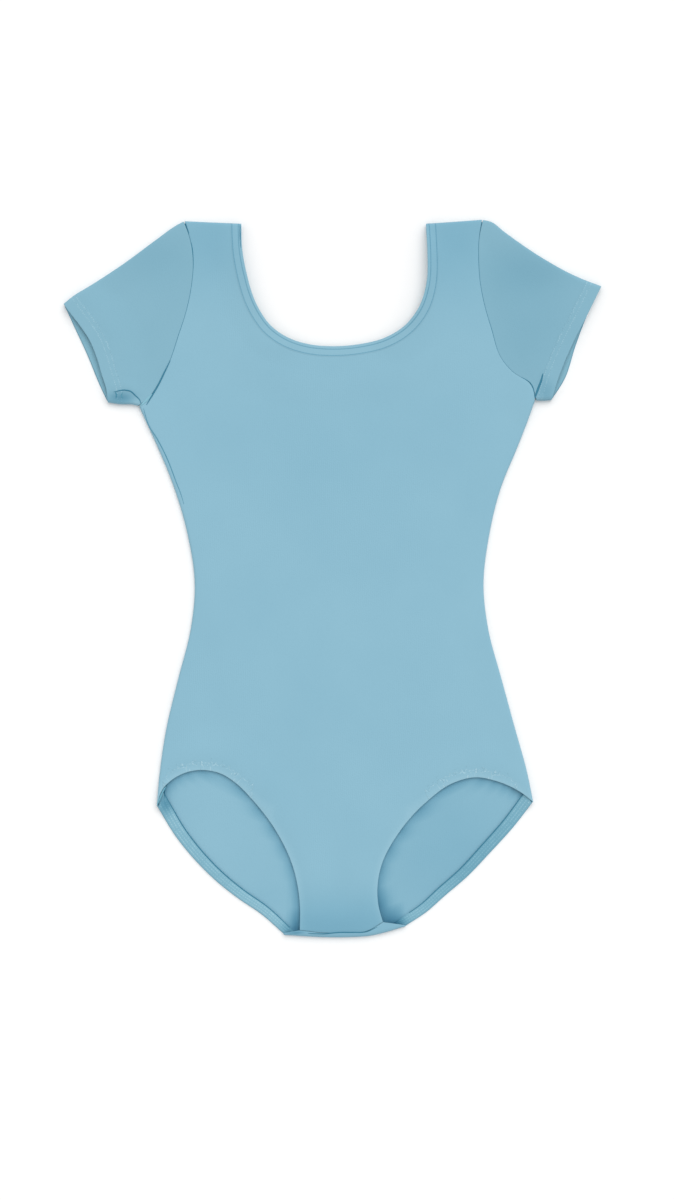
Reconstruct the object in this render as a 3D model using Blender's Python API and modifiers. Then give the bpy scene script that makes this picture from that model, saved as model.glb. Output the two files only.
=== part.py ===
"""Child's dance leotard with short sleeves, laid flat on its back with the front up.

Sizes are in millimetres and become metres where a mesh is made. x runs across the garment, y from the
crotch towards the neck and z up from the table. The origin is under the middle of the garment's box.
Every outline is a short table of rows, which a smooth curve joins. Left and right are a viewer's.
"""

from collections import namedtuple

import bmesh
import bpy
import numpy as np
from mathutils import Vector
from mathutils.bvhtree import BVHTree

MILLIMETRE = 0.001

# Cloth
WALL = 1.0                 # jersey
SEAM_GAP = 0.3             # between pieces that are sewn or turned on each other
NECK_BAND_WIDTH = 7.0      # turned edge over 6 mm elastic
LEG_BAND_WIDTH = 9.0       # turned edge over 10 mm elastic
LEG_BAND_CROTCH_WIDTH = 6.5    # the back's leg band is narrower where it is stretched round the crotch
CUFF_HEM_DEPTH = 11.0
BAND_EDGE_INSET = 0.8      # a turned band stops short of the panel's edge
BAND_END_INSET = 5.0       # and short of the folds at its two ends
HIP_END_INSET = 20.0       # further in at the front's narrow hip corners
BAND_TAPER = 2.0           # a band widens this fast from its end
HIP_TAPER = 0.3            # and the front's leg bands from the hip
BAND_SLACK = 0.05          # room between a band and its panel, whose facets differ

# Cells of each stretch of an outline
SIDE_CELLS = 18
ARMHOLE_CELLS = 8
SHOULDER_CELLS = 3
NECK_CELLS = 22
LEG_CELLS = 10             # down to the gusset on the front and to the crotch fold on the back
CROTCH_CELLS = 8
LEG_BAND_CELLS = 16
GUSSET_ROWS = 6
GUSSET_START = 0.55        # of the front leg edge's length, from the hip
SLEEVE_ROWS = 5
RING_SAMPLES = 121         # places down a sleeve at which its cross lines are looked up
CURVE_SAMPLES = 401
RELAX_ROUNDS = 900
RELAX_STEP = 0.7

# A panel turns up at the sides and shoulders to meet the other: rows out and up, in parts of the fold's radius
FoldStep = namedtuple("FoldStep", "out up")
SEAM_FOLD = (FoldStep(0.6, 0.2), FoldStep(1.0, 0.6), FoldStep(1.0, 1.0))
FOLD_ROWS = len(SEAM_FOLD)

# The back turns round the crotch, and a sleeve along its folds: rows in degrees from the lower layer
WRAP_ANGLES = (45.0, 90.0, 135.0, 180.0)
SLEEVE_FOLD_ANGLES = (135.0, 90.0, 45.0)

SLEEVE_END_GAP = 0.9       # between sleeve and panels at the shoulder and underarm folds
SLEEVE_GAP_POWER = 12
HEM_MOST = 0.45            # of a sleeve's length, where it is short under the arm
MERGE_DISTANCE = 0.01      # of the two ends of a closed ring

Spot = namedtuple("Spot", "x y")
Level = namedtuple("Level", "place y left_x right_x")
Pair = namedtuple("Pair", "left_x left_y right_x right_y")

# Body sides, from the hips up
BODY_LEVELS = (
    Level("leg top", -140.0, -124.2, 140.2),
    Level("low hip", -108.0, -119.4, 131.4),
    Level("hip", -72.0, -110.8, 121.6),
    Level("high hip", -36.0, -101.8, 112.0),
    Level("waist", -6.0, -98.9, 108.7),
    Level("midriff", 32.0, -104.2, 113.0),
    Level("ribs", 64.0, -113.4, 120.8),
    Level("chest", 95.0, -125.9, 133.4),
    Level("below the arm", 113.0, -134.2, 140.4),
)
HIP = Pair(-126.3, -163.6, 144.4, -160.8)
UNDERARM = Pair(-138.8, 123.3, 145.6, 127.6)

# Armhole seams, from the shoulder down, without the underarm
ARMHOLE = (
    Pair(-106.1, 256.9, 107.5, 257.9),
    Pair(-101.3, 240.7, 105.3, 245.0),
    Pair(-99.9, 228.3, 105.0, 227.7),
    Pair(-101.2, 210.0, 106.2, 212.0),
    Pair(-104.8, 192.5, 109.4, 196.0),
    Pair(-110.6, 174.5, 114.5, 178.7),
    Pair(-116.5, 156.7, 121.1, 158.5),
    Pair(-124.7, 140.1, 132.0, 146.3),
    Pair(-130.5, 131.0, 142.6, 140.0),
)

# Shoulder, from the armhole to the neck
SHOULDER_END = Pair(-65.5, 254.9, 67.3, 254.8)

# Front neck, from the left shoulder round to the right one
FRONT_NECK = (
    Spot(-65.5, 254.9),
    Spot(-65.1, 238.0),
    Spot(-62.3, 221.4),
    Spot(-52.9, 193.5),
    Spot(-44.2, 181.4),
    Spot(-31.0, 172.5),
    Spot(-17.3, 168.3),
    Spot(0.5, 166.8),
    Spot(21.3, 168.6),
    Spot(37.4, 172.7),
    Spot(52.3, 181.6),
    Spot(62.5, 194.5),
    Spot(67.9, 212.0),
    Spot(68.4, 235.0),
    Spot(67.3, 254.8),
)
BACK_NECK_DROP = 14.0      # the back scoop is this much lower at its middle
BACK_NECK_WIDER = 0.5      # and this much wider on each side, which comes in over the first of the depth
BACK_NECK_WIDENS = 0.25

# Leg edges of the front, from the hip to the crotch
FRONT_LEG_LEFT = (
    Spot(-126.3, -163.6),
    Spot(-122.0, -151.4),
    Spot(-114.5, -144.2),
    Spot(-102.3, -138.7),
    Spot(-91.0, -137.9),
    Spot(-79.6, -140.6),
    Spot(-69.6, -147.0),
    Spot(-58.0, -158.6),
    Spot(-39.9, -182.6),
    Spot(-28.3, -207.4),
    Spot(-23.3, -235.4),
    Spot(-23.4, -252.6),
)
FRONT_LEG_RIGHT = (
    Spot(144.4, -160.8),
    Spot(136.6, -154.5),
    Spot(118.0, -145.8),
    Spot(103.0, -143.0),
    Spot(87.0, -147.0),
    Spot(67.2, -161.1),
    Spot(47.4, -183.4),
    Spot(34.9, -207.4),
    Spot(32.3, -224.0),
    Spot(33.2, -236.0),
    Spot(36.3, -246.8),
)
FRONT_CROTCH = (
    Spot(-23.4, -252.6),
    Spot(-5.0, -254.6),
    Spot(10.0, -254.2),
    Spot(24.6, -253.4),
    Spot(36.3, -246.8),
)

# Leg edges of the back, from the hip to the crotch fold
BACK_LEG_LEFT = (
    Spot(-126.3, -163.6),
    Spot(-112.6, -185.9),
    Spot(-97.7, -204.0),
    Spot(-83.2, -218.2),
    Spot(-67.6, -230.5),
    Spot(-51.3, -241.5),
    Spot(-34.2, -256.6),
)
BACK_LEG_RIGHT = (
    Spot(144.4, -160.8),
    Spot(130.0, -179.3),
    Spot(113.5, -197.4),
    Spot(96.9, -214.8),
    Spot(80.4, -228.9),
    Spot(68.4, -239.6),
    Spot(52.0, -250.5),
)
CROTCH_FOLD = (
    Spot(-34.2, -256.6),
    Spot(-5.0, -258.2),
    Spot(10.0, -258.2),
    Spot(28.4, -257.0),
    Spot(40.0, -254.2),
    Spot(52.0, -250.5),
)

# Sleeves: the fold along the top, the two layers of the cuff and the fold under the arm
SLEEVE_TOP_LEFT = (
    Spot(-106.1, 256.9),
    Spot(-109.9, 255.0),
    Spot(-126.2, 243.6),
    Spot(-148.2, 227.3),
    Spot(-174.5, 210.0),
    Spot(-186.4, 202.6),
    Spot(-192.4, 197.6),
)
SLEEVE_TOP_RIGHT = (
    Spot(107.5, 257.9),
    Spot(112.5, 257.0),
    Spot(122.9, 249.3),
    Spot(148.4, 231.7),
    Spot(178.1, 215.7),
    Spot(192.5, 210.2),
)
FRONT_CUFF_LEFT = (
    Spot(-192.4, 197.6),
    Spot(-188.7, 192.3),
    Spot(-179.9, 180.6),
    Spot(-173.7, 171.0),
    Spot(-168.8, 159.0),
    Spot(-165.0, 146.0),
    Spot(-161.4, 134.0),
    Spot(-160.8, 125.7),
)
BACK_CUFF_LEFT = (
    Spot(-192.4, 197.6),
    Spot(-186.0, 183.4),
    Spot(-175.7, 160.7),
    Spot(-166.2, 137.2),
    Spot(-160.8, 125.7),
)
FRONT_CUFF_RIGHT = (
    Spot(192.5, 210.2),
    Spot(182.0, 188.8),
    Spot(171.4, 167.7),
    Spot(161.7, 144.3),
    Spot(156.6, 127.8),
)
BACK_CUFF_RIGHT = (
    Spot(192.5, 210.2),
    Spot(182.2, 188.8),
    Spot(174.0, 166.9),
    Spot(166.6, 144.0),
    Spot(156.6, 127.8),
)
SLEEVE_BOTTOM_LEFT = (
    Spot(-138.8, 123.3),
    Spot(-143.5, 124.3),
    Spot(-151.5, 124.4),
    Spot(-160.8, 125.7),
)
SLEEVE_BOTTOM_RIGHT = (
    Spot(145.6, 127.6),
    Spot(151.0, 127.4),
    Spot(156.6, 127.8),
)

# How high the upper layer's face lies: over plain cloth, and what turned edges and folds add to it
PLAIN_HEIGHT = 2.7
BLEND_POWER = 4.0
Lift = namedtuple("Lift", "height core reach")
SIDE_LIFT = Lift(1.0, 2.0, 24.0)
NECK_LIFT = Lift(1.1, 24.0, 26.0)
STRAP_LIFT = Lift(2.4, 9.0, 24.0)
LEG_LIFT = Lift(1.1, 10.0, 26.0)
HIP_LIFT = Lift(2.4, 10.0, 22.0)
CROTCH_LIFT = Lift(2.0, 6.0, 22.0)
SLEEVE_FOLD_LIFT = Lift(1.0, 2.0, 20.0)
CUFF_LIFT = Lift(3.0, 12.0, 26.0)
STRAP_FOOT_Y = 178.0       # the front and back neck edges part below here

Finish = namedtuple("Finish", "colour roughness")
PANEL_FINISH = Finish("#8dbbce", 0.92)
SLEEVE_FINISH = Finish("#87b5c8", 0.92)
BAND_FINISH = Finish("#83b4c8", 0.9)


def smooth_curve(rows):
    """Return even points along a smooth curve through a table's rows."""
    knots = np.array([(row.x, row.y) for row in rows])
    spans = np.linalg.norm(np.diff(knots, axis=0), axis=1)
    stations = np.concatenate(([0.0], np.cumsum(spans)))
    slopes = np.gradient(knots, stations, axis=0)
    place = np.linspace(0.0, stations[-1], 3 * CURVE_SAMPLES)
    cell = np.clip(np.searchsorted(stations, place, side="right") - 1, 0, len(spans) - 1)
    w = ((place - stations[cell]) / spans[cell])[:, None]
    span = spans[cell][:, None]
    curve = (
        (2 * w**3 - 3 * w**2 + 1) * knots[cell]
        + (w**3 - 2 * w**2 + w) * span * slopes[cell]
        + (3 * w**2 - 2 * w**3) * knots[cell + 1]
        + (w**3 - w**2) * span * slopes[cell + 1]
    )
    return points_at(curve, np.linspace(0.0, 1.0, CURVE_SAMPLES))


def arc_lengths(curve):
    """Return the distance along a curve at each of its points."""
    return np.concatenate(([0.0], np.cumsum(np.linalg.norm(np.diff(curve, axis=0), axis=1))))


def points_at(curve, fractions):
    """Return the points at these fractions of a curve's length."""
    along = arc_lengths(curve)
    place = np.asarray(fractions) * along[-1]
    return np.stack([np.interp(place, along, curve[:, axis]) for axis in (0, 1)], axis=-1)


def even_points(curve, cells, start=0.0, end=0.0):
    """Return cells + 1 even points, from start after the curve's first point to end before its last."""
    length = arc_lengths(curve)[-1]
    return points_at(curve, np.linspace(start / length, 1.0 - end / length, cells + 1))


def beside(curve, distance):
    """Return the curve's points moved to its left side by a distance."""
    along = np.gradient(curve, axis=0)
    along /= np.linalg.norm(along, axis=1, keepdims=True)
    return curve + np.stack((-along[:, 1], along[:, 0]), axis=1) * distance


def side_rows(which):
    """Return the rows of one side seam, hip to underarm."""
    left = which == "left"
    rows = [Spot(level.left_x if left else level.right_x, level.y) for level in BODY_LEVELS]
    return [pair_spot(HIP, left)] + rows + [pair_spot(UNDERARM, left)]


def pair_spot(pair, left):
    """Return one side's spot of a pair."""
    if left:
        return Spot(pair.left_x, pair.left_y)
    return Spot(pair.right_x, pair.right_y)


def back_neck(front_neck):
    """Return the back's neck edge: the front's, lower towards its middle and a little wider."""
    top, bottom = front_neck[:, 1].max(), front_neck[:, 1].min()
    depth = (top - front_neck[:, 1]) / (top - bottom)
    middle = 0.5 * (front_neck[0, 0] + front_neck[-1, 0])
    wider = BACK_NECK_WIDER * np.minimum(depth / BACK_NECK_WIDENS, 1.0) * (1.0 - depth)
    lower = front_neck.copy()
    lower[:, 0] += np.sign(front_neck[:, 0] - middle) * wider
    lower[:, 1] -= BACK_NECK_DROP * depth**2
    return lower


SIDES = ("left", "right")
side_seam = {side: smooth_curve(side_rows(side)) for side in SIDES}
armhole = {
    side: smooth_curve([pair_spot(row, side == "left") for row in ARMHOLE + (UNDERARM,)]) for side in SIDES
}
shoulder = {
    side: smooth_curve([pair_spot(ARMHOLE[0], side == "left"), pair_spot(SHOULDER_END, side == "left")])
    for side in SIDES
}
neck = {"front": smooth_curve(FRONT_NECK)}
neck["back"] = back_neck(neck["front"])
leg = {
    ("front", "left"): smooth_curve(FRONT_LEG_LEFT),
    ("front", "right"): smooth_curve(FRONT_LEG_RIGHT),
    ("back", "left"): smooth_curve(BACK_LEG_LEFT),
    ("back", "right"): smooth_curve(BACK_LEG_RIGHT),
}
crotch = {"front": smooth_curve(FRONT_CROTCH), "back": smooth_curve(CROTCH_FOLD)}
sleeve_top = {"left": smooth_curve(SLEEVE_TOP_LEFT), "right": smooth_curve(SLEEVE_TOP_RIGHT)}
sleeve_bottom = {"left": smooth_curve(SLEEVE_BOTTOM_LEFT), "right": smooth_curve(SLEEVE_BOTTOM_RIGHT)}
cuff = {
    ("front", "left"): smooth_curve(FRONT_CUFF_LEFT),
    ("front", "right"): smooth_curve(FRONT_CUFF_RIGHT),
    ("back", "left"): smooth_curve(BACK_CUFF_LEFT),
    ("back", "right"): smooth_curve(BACK_CUFF_RIGHT),
}


def strap_part(curve):
    """Return the part of the neck edge that runs down the two straps."""
    return curve[curve[:, 1] > STRAP_FOOT_Y]


LIFTS = (
    [(side_seam[side], SIDE_LIFT) for side in SIDES]
    + [(neck["front"], NECK_LIFT), (strap_part(neck["front"]), STRAP_LIFT)]
    + [(leg["front", side], LEG_LIFT) for side in SIDES]
    + [(side_seam[side][:1], HIP_LIFT) for side in SIDES]
    + [(crotch["front"], CROTCH_LIFT)]
    + [(curve[side], SLEEVE_FOLD_LIFT) for curve in (sleeve_top, sleeve_bottom) for side in SIDES]
    + [(cuff["front", side], CUFF_LIFT) for side in SIDES]
)


def fade(distance, lift):
    """Return 1 within a lift's core, falling smoothly to 0 over its reach."""
    t = np.clip((distance - lift.core) / lift.reach, 0.0, 1.0)
    return 1.0 - t * t * (3.0 - 2.0 * t)


def upper_height(points):
    """Return how high the upper layer's face lies over each point of the plan."""
    flat = points.reshape(-1, 2)
    total = np.zeros(len(flat))
    for curve, lift in LIFTS:
        gap = np.linalg.norm(flat[:, None] - curve[None, ::4], axis=2).min(axis=1)
        total += (lift.height * fade(gap, lift)) ** BLEND_POWER
    return (PLAIN_HEIGHT + total ** (1.0 / BLEND_POWER)).reshape(points.shape[:-1])


def with_height(points, height):
    """Return plan points with a height added as z."""
    heights = np.broadcast_to(height, points.shape[:-1])
    return np.concatenate((points, heights[..., None]), axis=-1)


def coons(s, t, start, end, first, last):
    """Return the point at s, t of a patch; start and end are its edges along t, first and last along s."""
    s_column, t_column = s[..., None], t[..., None]
    corners = (
        (1 - s_column) * (1 - t_column) * start[0]
        + (1 - s_column) * t_column * start[-1]
        + s_column * (1 - t_column) * end[0]
        + s_column * t_column * end[-1]
    )
    across = (1 - s_column) * points_at(start, t) + s_column * points_at(end, t)
    down = (1 - t_column) * points_at(first, s) + t_column * points_at(last, s)
    return across + down - corners


def relaxed_grid(bottom, top, left, right):
    """Fill four edges with a grid and even it out until no two of its lines cross."""
    v, u = np.meshgrid(np.linspace(0, 1, len(left)), np.linspace(0, 1, len(bottom)), indexing="ij")
    grid = coons(v, u, bottom, top, left, right)
    grid[0], grid[-1], grid[:, 0], grid[:, -1] = bottom, top, left, right
    for _ in range(RELAX_ROUNDS):
        along_u = 0.5 * (grid[1:-1, 2:] - grid[1:-1, :-2])
        along_v = 0.5 * (grid[2:, 1:-1] - grid[:-2, 1:-1])
        alpha = (along_v**2).sum(axis=2, keepdims=True)
        gamma = (along_u**2).sum(axis=2, keepdims=True)
        beta = (along_u * along_v).sum(axis=2, keepdims=True)
        twist = 0.25 * (grid[2:, 2:] - grid[2:, :-2] - grid[:-2, 2:] + grid[:-2, :-2])
        sides = alpha * (grid[1:-1, 2:] + grid[1:-1, :-2]) + gamma * (grid[2:, 1:-1] + grid[:-2, 1:-1])
        target = (sides - 2 * beta * twist) / (2 * (alpha + gamma))
        grid[1:-1, 1:-1] += RELAX_STEP * (target - grid[1:-1, 1:-1])
    return grid


def fold_radius(spot):
    """Return the outer radius of the fold that joins both layers at a point of the outline."""
    return 0.5 * float(upper_height(spot))


def fold_foot(outline, inward, first, last):
    """Return where a fold starts on its layer: the outline moved inward by the fold's radius."""
    radius = 0.5 * upper_height(outline)[:, None]
    foot = outline + (beside(outline, inward) - outline) * radius
    foot[0], foot[-1] = first, last
    return foot


def turned_row(outline, foot, angle):
    """Return a fold's points at an angle from the lower layer: 0 lies on it, 180 degrees on the upper one."""
    radius = 0.5 * upper_height(outline)
    plan = foot + (outline - foot) * np.sin(angle)
    return with_height(plan, radius - radius * np.cos(angle))


def edge_fold(outline, foot, layer):
    """Return a panel's rows from the flat to the seam, which stands upright at the outline."""
    radius = 0.5 * upper_height(outline)
    rows = []
    for step in SEAM_FOLD:
        rise = step.up * (radius - 0.5 * SEAM_GAP)
        plan = foot + (outline - foot) * step.out
        rows.append(with_height(plan, 2.0 * radius - rise if layer == "front" else rise))
    return rows


def front_gusset(crotch_line, across):
    """Return the front's rows from the crotch seam up to the line across the tops of the gusset."""
    s, t = np.meshgrid(np.linspace(0, 1, GUSSET_ROWS + 1), np.linspace(0, 1, CROTCH_CELLS + 1), indexing="ij")
    edges = []
    for side in SIDES:
        curve = leg["front", side]
        length = arc_lengths(curve)[-1]
        edges.append(even_points(curve, GUSSET_ROWS, GUSSET_START * length)[::-1])
    block = coons(s, t, crotch_line, across, edges[0], edges[1])[:-1]
    return with_height(block, upper_height(block))


def crotch_wrap(fold, fold_start):
    """Return the back's rows from the crotch seam on the upper side, round the fold, to the lower side."""
    seam_line = beside(even_points(crotch["front"], CROTCH_CELLS), -SEAM_GAP)
    rows = [turned_row(fold, fold_start, np.radians(angle)) for angle in WRAP_ANGLES]
    return np.array([with_height(seam_line, upper_height(seam_line))] + rows[::-1])


def panel_points(layer):
    """Return the outer points of the front or back panel as rows from the crotch up, columns left to right.

    The flat field is widened by the folds at its side seams and shoulders, and at the crotch by the
    front's gusset or the back's wrap. Places of the array with no cloth hold nan.
    """
    arm, legs, outline, foot, over, over_foot, neck_cut = {}, {}, {}, {}, {}, {}, {}
    for side, inward in (("left", -1.0), ("right", 1.0)):
        hip_cut = fold_radius(side_seam[side][0])
        neck_cut[side] = fold_radius(shoulder[side][-1])
        arm[side] = armhole_points(side)[::-1]
        if layer == "front":
            end_cut = (1.0 - GUSSET_START) * arc_lengths(leg[layer, side])[-1]
        else:
            end_cut = fold_radius(leg[layer, side][-1])
        legs[side] = even_points(leg[layer, side], LEG_CELLS, hip_cut, end_cut)
        outline[side] = even_points(side_seam[side], SIDE_CELLS)
        foot[side] = fold_foot(outline[side], inward, legs[side][0], arm[side][0])
    scoop = even_points(neck[layer], NECK_CELLS, neck_cut["left"], neck_cut["right"])
    for side, inward, neck_end in (("left", -1.0, scoop[0]), ("right", 1.0, scoop[-1])):
        over[side] = even_points(shoulder[side], SHOULDER_CELLS)
        over_foot[side] = fold_foot(over[side], inward, arm[side][-1], neck_end)
    ends = np.array((legs["left"][-1], legs["right"][-1]))
    crotch_line = even_points(crotch[layer], CROTCH_CELLS)
    if layer == "front":
        middle = even_points(ends, CROTCH_CELLS)
        below = front_gusset(crotch_line, middle)
    else:
        middle = fold_foot(crotch_line, 1.0, *ends)
        below = crotch_wrap(crotch_line, middle)

    field = relaxed_grid(
        np.concatenate((legs["left"], middle[1:-1], legs["right"][::-1])),
        np.concatenate((over_foot["left"], scoop[1:-1], over_foot["right"][::-1])),
        np.concatenate((foot["left"], arm["left"][1:])),
        np.concatenate((foot["right"], arm["right"][1:])),
    )
    rows, columns = field.shape[:2]
    start = len(below)
    points = np.full((start + rows + FOLD_ROWS, columns + 2 * FOLD_ROWS, 3), np.nan)
    points[:start, FOLD_ROWS + LEG_CELLS : FOLD_ROWS + LEG_CELLS + CROTCH_CELLS + 1] = below
    height = upper_height(field) if layer == "front" else 0.0
    points[start : start + rows, FOLD_ROWS : FOLD_ROWS + columns] = with_height(field, height)

    seam = slice(start, start + SIDE_CELLS + 1)
    left_shoulder = slice(FOLD_ROWS, FOLD_ROWS + SHOULDER_CELLS + 1)
    right_shoulder = slice(FOLD_ROWS + columns - SHOULDER_CELLS - 1, FOLD_ROWS + columns)
    for step in range(FOLD_ROWS):
        points[seam, FOLD_ROWS - 1 - step] = edge_fold(outline["left"], foot["left"], layer)[step]
        points[seam, FOLD_ROWS + columns + step] = edge_fold(outline["right"], foot["right"], layer)[step]
        row = start + rows + step
        points[row, left_shoulder] = edge_fold(over["left"], over_foot["left"], layer)[step]
        points[row, right_shoulder] = edge_fold(over["right"], over_foot["right"], layer)[step][::-1]
    return points


def armhole_points(side):
    """Return the armhole seam's points from the shoulder's fold down to the underarm's."""
    seam = armhole[side]
    return even_points(seam, ARMHOLE_CELLS, fold_radius(seam[0]), fold_radius(seam[-1]))


def sleeve_edge(side):
    """Return the sleeve's edge along the armhole: a seam's gap from it, and wider at its two folded ends."""
    seam = armhole[side]
    ends = np.abs(np.linspace(-1.0, 1.0, len(seam)))[:, None] ** SLEEVE_GAP_POWER
    gap = SEAM_GAP + (SLEEVE_END_GAP - SEAM_GAP) * ends
    outward = -1.0 if side == "left" else 1.0
    return seam + (beside(seam, outward) - seam) * gap


def sleeve_layer(side, layer, s, depth):
    """Return one layer's points of a sleeve, from the top fold to the underarm fold, at places s along it."""
    edge = sleeve_edge(side)
    top = sleeve_top[side] + (edge[0] - armhole[side][0])
    bottom = sleeve_bottom[side] + (edge[-1] - armhole[side][-1])
    t = np.linspace(0.0, 1.0, len(s))
    first = coons(s, np.zeros(len(s)), edge, cuff[layer, side], top, bottom)
    last = coons(s, np.ones(len(s)), edge, cuff[layer, side], top, bottom)
    start_cut = 0.5 * upper_height(first[0])
    end_cut = 0.5 * upper_height(last[-1])
    path = coons(s, t, edge, cuff[layer, side], top, bottom)
    inner = even_points(path, ARMHOLE_CELLS, start_cut, end_cut)
    height = upper_height(inner) - depth if layer == "front" else depth
    return path[[0, -1]], with_height(inner, height)


def sleeve_ring(side, place, depth=0.0):
    """Return one closed ring of a sleeve, at a depth inside its outer face.

    place gives how far along the sleeve each point lies, from 0 at the armhole to 1 at the cuff, as a
    function of the way down from the top fold.
    """
    down = np.linspace(0.0, 1.0, RING_SAMPLES)
    ends, upper = sleeve_layer(side, "front", place(down), depth)
    back_ends, lower = sleeve_layer(side, "back", place(down), depth)
    top_end, bottom_end = 0.5 * (ends + back_ends)
    ring = list(upper)
    ring += fold_between(bottom_end, upper[-1], lower[-1], depth)
    ring += list(lower[::-1])
    ring += fold_between(top_end, upper[0], lower[0], depth)[::-1]
    return np.array(ring + [ring[0]])


def fold_between(outline, upper, lower, depth):
    """Return the points that turn a sleeve from its upper layer to its lower one."""
    radius = fold_radius(outline)
    feet = (upper[:2], 0.5 * (upper[:2] + lower[:2]), lower[:2])
    points = []
    for angle, foot in zip(np.radians(SLEEVE_FOLD_ANGLES), feet):
        plan = foot + (outline - foot) * np.sin(angle) * (radius - depth) / radius
        points.append(np.append(plan, radius - (radius - depth) * np.cos(angle)))
    return points


def hem_place(side, distance):
    """Return a function that gives the place at a distance from the cuff, at each way down the sleeve."""
    length_top = arc_lengths(sleeve_top[side])[-1]
    length_bottom = arc_lengths(sleeve_bottom[side])[-1]

    def place(down):
        length = (1.0 - down) * length_top + down * length_bottom
        return 1.0 - np.minimum(distance / length, HEM_MOST)

    return place


def linear_colour(code):
    """Return an sRGB hex colour as linear red, green, blue and alpha."""
    levels = [int(code[place : place + 2], 16) / 255.0 for place in (1, 3, 5)]
    return [c / 12.92 if c <= 0.04045 else ((c + 0.055) / 1.055) ** 2.4 for c in levels] + [1.0]


def jersey(name, finish):
    """Return a piece's own cloth material."""
    material = bpy.data.materials.new(name)
    material.use_nodes = True
    shader = material.node_tree.nodes["Principled BSDF"]
    shader.inputs["Base Color"].default_value = linear_colour(finish.colour)
    shader.inputs["Roughness"].default_value = finish.roughness
    shader.inputs["Metallic"].default_value = 0.0
    return material


def add_cloth(name, points, finish, face_up=True, ring=False):
    """Add a piece: a grid drawn over its outer points, cut to where there is cloth, with its wall inside.

    The outer face looks up or down, or outward all round where the grid closes to a ring.
    """
    rows, columns = points.shape[:2]
    bm = bmesh.new()
    bmesh.ops.create_grid(bm, x_segments=columns - 1, y_segments=rows - 1, size=1.0)
    bm.verts.ensure_lookup_table()
    for vert, point in zip(bm.verts, points.reshape(-1, 3)):
        vert.co = Vector(point) * MILLIMETRE
    bare = [vert for vert in bm.verts if vert.co.x != vert.co.x]
    bmesh.ops.delete(bm, geom=bare, context="VERTS")
    bm.normal_update()
    if ring:
        bmesh.ops.remove_doubles(bm, verts=bm.verts, dist=MERGE_DISTANCE * MILLIMETRE)
        bmesh.ops.recalc_face_normals(bm, faces=bm.faces)
    elif (sum(face.normal.z for face in bm.faces) > 0.0) != face_up:
        bmesh.ops.reverse_faces(bm, faces=bm.faces)
    mesh = bpy.data.meshes.new(name)
    bm.to_mesh(mesh)
    bm.free()
    mesh.shade_smooth()
    mesh.materials.append(jersey(name + "_jersey", finish))
    piece = bpy.data.objects.new(name, mesh)
    collection.objects.link(piece)
    wall = piece.modifiers.new("wall", "SOLIDIFY")
    wall.thickness = WALL * MILLIMETRE
    wall.offset = -1.0
    wall.use_even_offset = True
    return piece


def surface_of(points):
    """Return a tree that finds heights on a panel's outer points."""
    triangles = []
    rows, columns = points.shape[:2]
    corners = [tuple(np.nan_to_num(point, nan=-1000.0)) for point in points.reshape(-1, 3)]
    there = ~np.isnan(points[..., 0])
    for row in range(rows - 1):
        for column in range(columns - 1):
            if there[row : row + 2, column : column + 2].all():
                a = row * columns + column
                triangles += [(a, a + 1, a + columns + 1), (a, a + columns + 1, a + columns)]
    return BVHTree.FromPolygons(corners, triangles)


def band_points(edge, inward, widths, cells, surface, start_inset=BAND_END_INSET, taper=BAND_TAPER):
    """Return the outer points of a turned band, which lies against the inside of its panel.

    Its width goes from the first of the widths to the second, and grows from the edge's start by the taper.
    """
    outer = even_points(beside(edge, inward * BAND_EDGE_INSET), cells, start_inset, BAND_END_INSET)
    from_corner = start_inset + arc_lengths(outer)[:, None]
    width = np.minimum(np.linspace(widths[0], widths[1], cells + 1)[:, None], taper * from_corner)
    inner = outer + (beside(outer, inward) - outer) * (width - BAND_EDGE_INSET)
    plan = np.stack((outer, 0.5 * (outer + inner), inner))
    if surface is None:
        return with_height(plan, WALL + SEAM_GAP)
    height = np.zeros(plan.shape[:2])
    for place in np.ndindex(height.shape):
        x, y = plan[place]
        nearest = surface.find_nearest(Vector((x, y, PLAIN_HEIGHT)))[0]
        height[place] = nearest.z - WALL - SEAM_GAP - BAND_SLACK
    return with_height(plan, height)


for old in list(bpy.data.objects):
    bpy.data.objects.remove(old, do_unlink=True)
collection = bpy.data.collections.new("leotard")
bpy.context.scene.collection.children.link(collection)

panels = {layer: panel_points(layer) for layer in ("front", "back")}
add_cloth("front", panels["front"], PANEL_FINISH, face_up=True)
add_cloth("back", panels["back"], PANEL_FINISH, face_up=False)

front_surface = surface_of(panels["front"])
for layer, surface in (("front", front_surface), ("back", None)):
    face_up = layer == "front"
    points = band_points(neck[layer], -1.0, (NECK_BAND_WIDTH, NECK_BAND_WIDTH), NECK_CELLS, surface)
    add_cloth("neck_band_" + layer, points, BAND_FINISH, face_up)
    for side, inward in (("left", 1.0), ("right", -1.0)):
        widths = (LEG_BAND_WIDTH, LEG_BAND_WIDTH if layer == "front" else LEG_BAND_CROTCH_WIDTH)
        corner = (HIP_END_INSET, HIP_TAPER) if layer == "front" else (BAND_END_INSET, BAND_TAPER)
        points = band_points(leg[layer, side], inward, widths, LEG_BAND_CELLS, surface, *corner)
        add_cloth("leg_band_" + side + "_" + layer, points, BAND_FINISH, face_up)

for side in SIDES:
    last = hem_place(side, CUFF_HEM_DEPTH)
    places = [lambda down, part=part: part * last(down) for part in np.linspace(0.0, 1.0, SLEEVE_ROWS)]
    rings = [sleeve_ring(side, place) for place in places]
    rings.append(sleeve_ring(side, lambda down: np.ones(len(down))))
    add_cloth("sleeve_" + side, np.array(rings), SLEEVE_FINISH, ring=True)
    hem = [sleeve_ring(side, hem_place(side, d), WALL + SEAM_GAP) for d in (CUFF_HEM_DEPTH, BAND_EDGE_INSET)]
    add_cloth("cuff_hem_" + side, np.array(hem), BAND_FINISH, ring=True)
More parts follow.
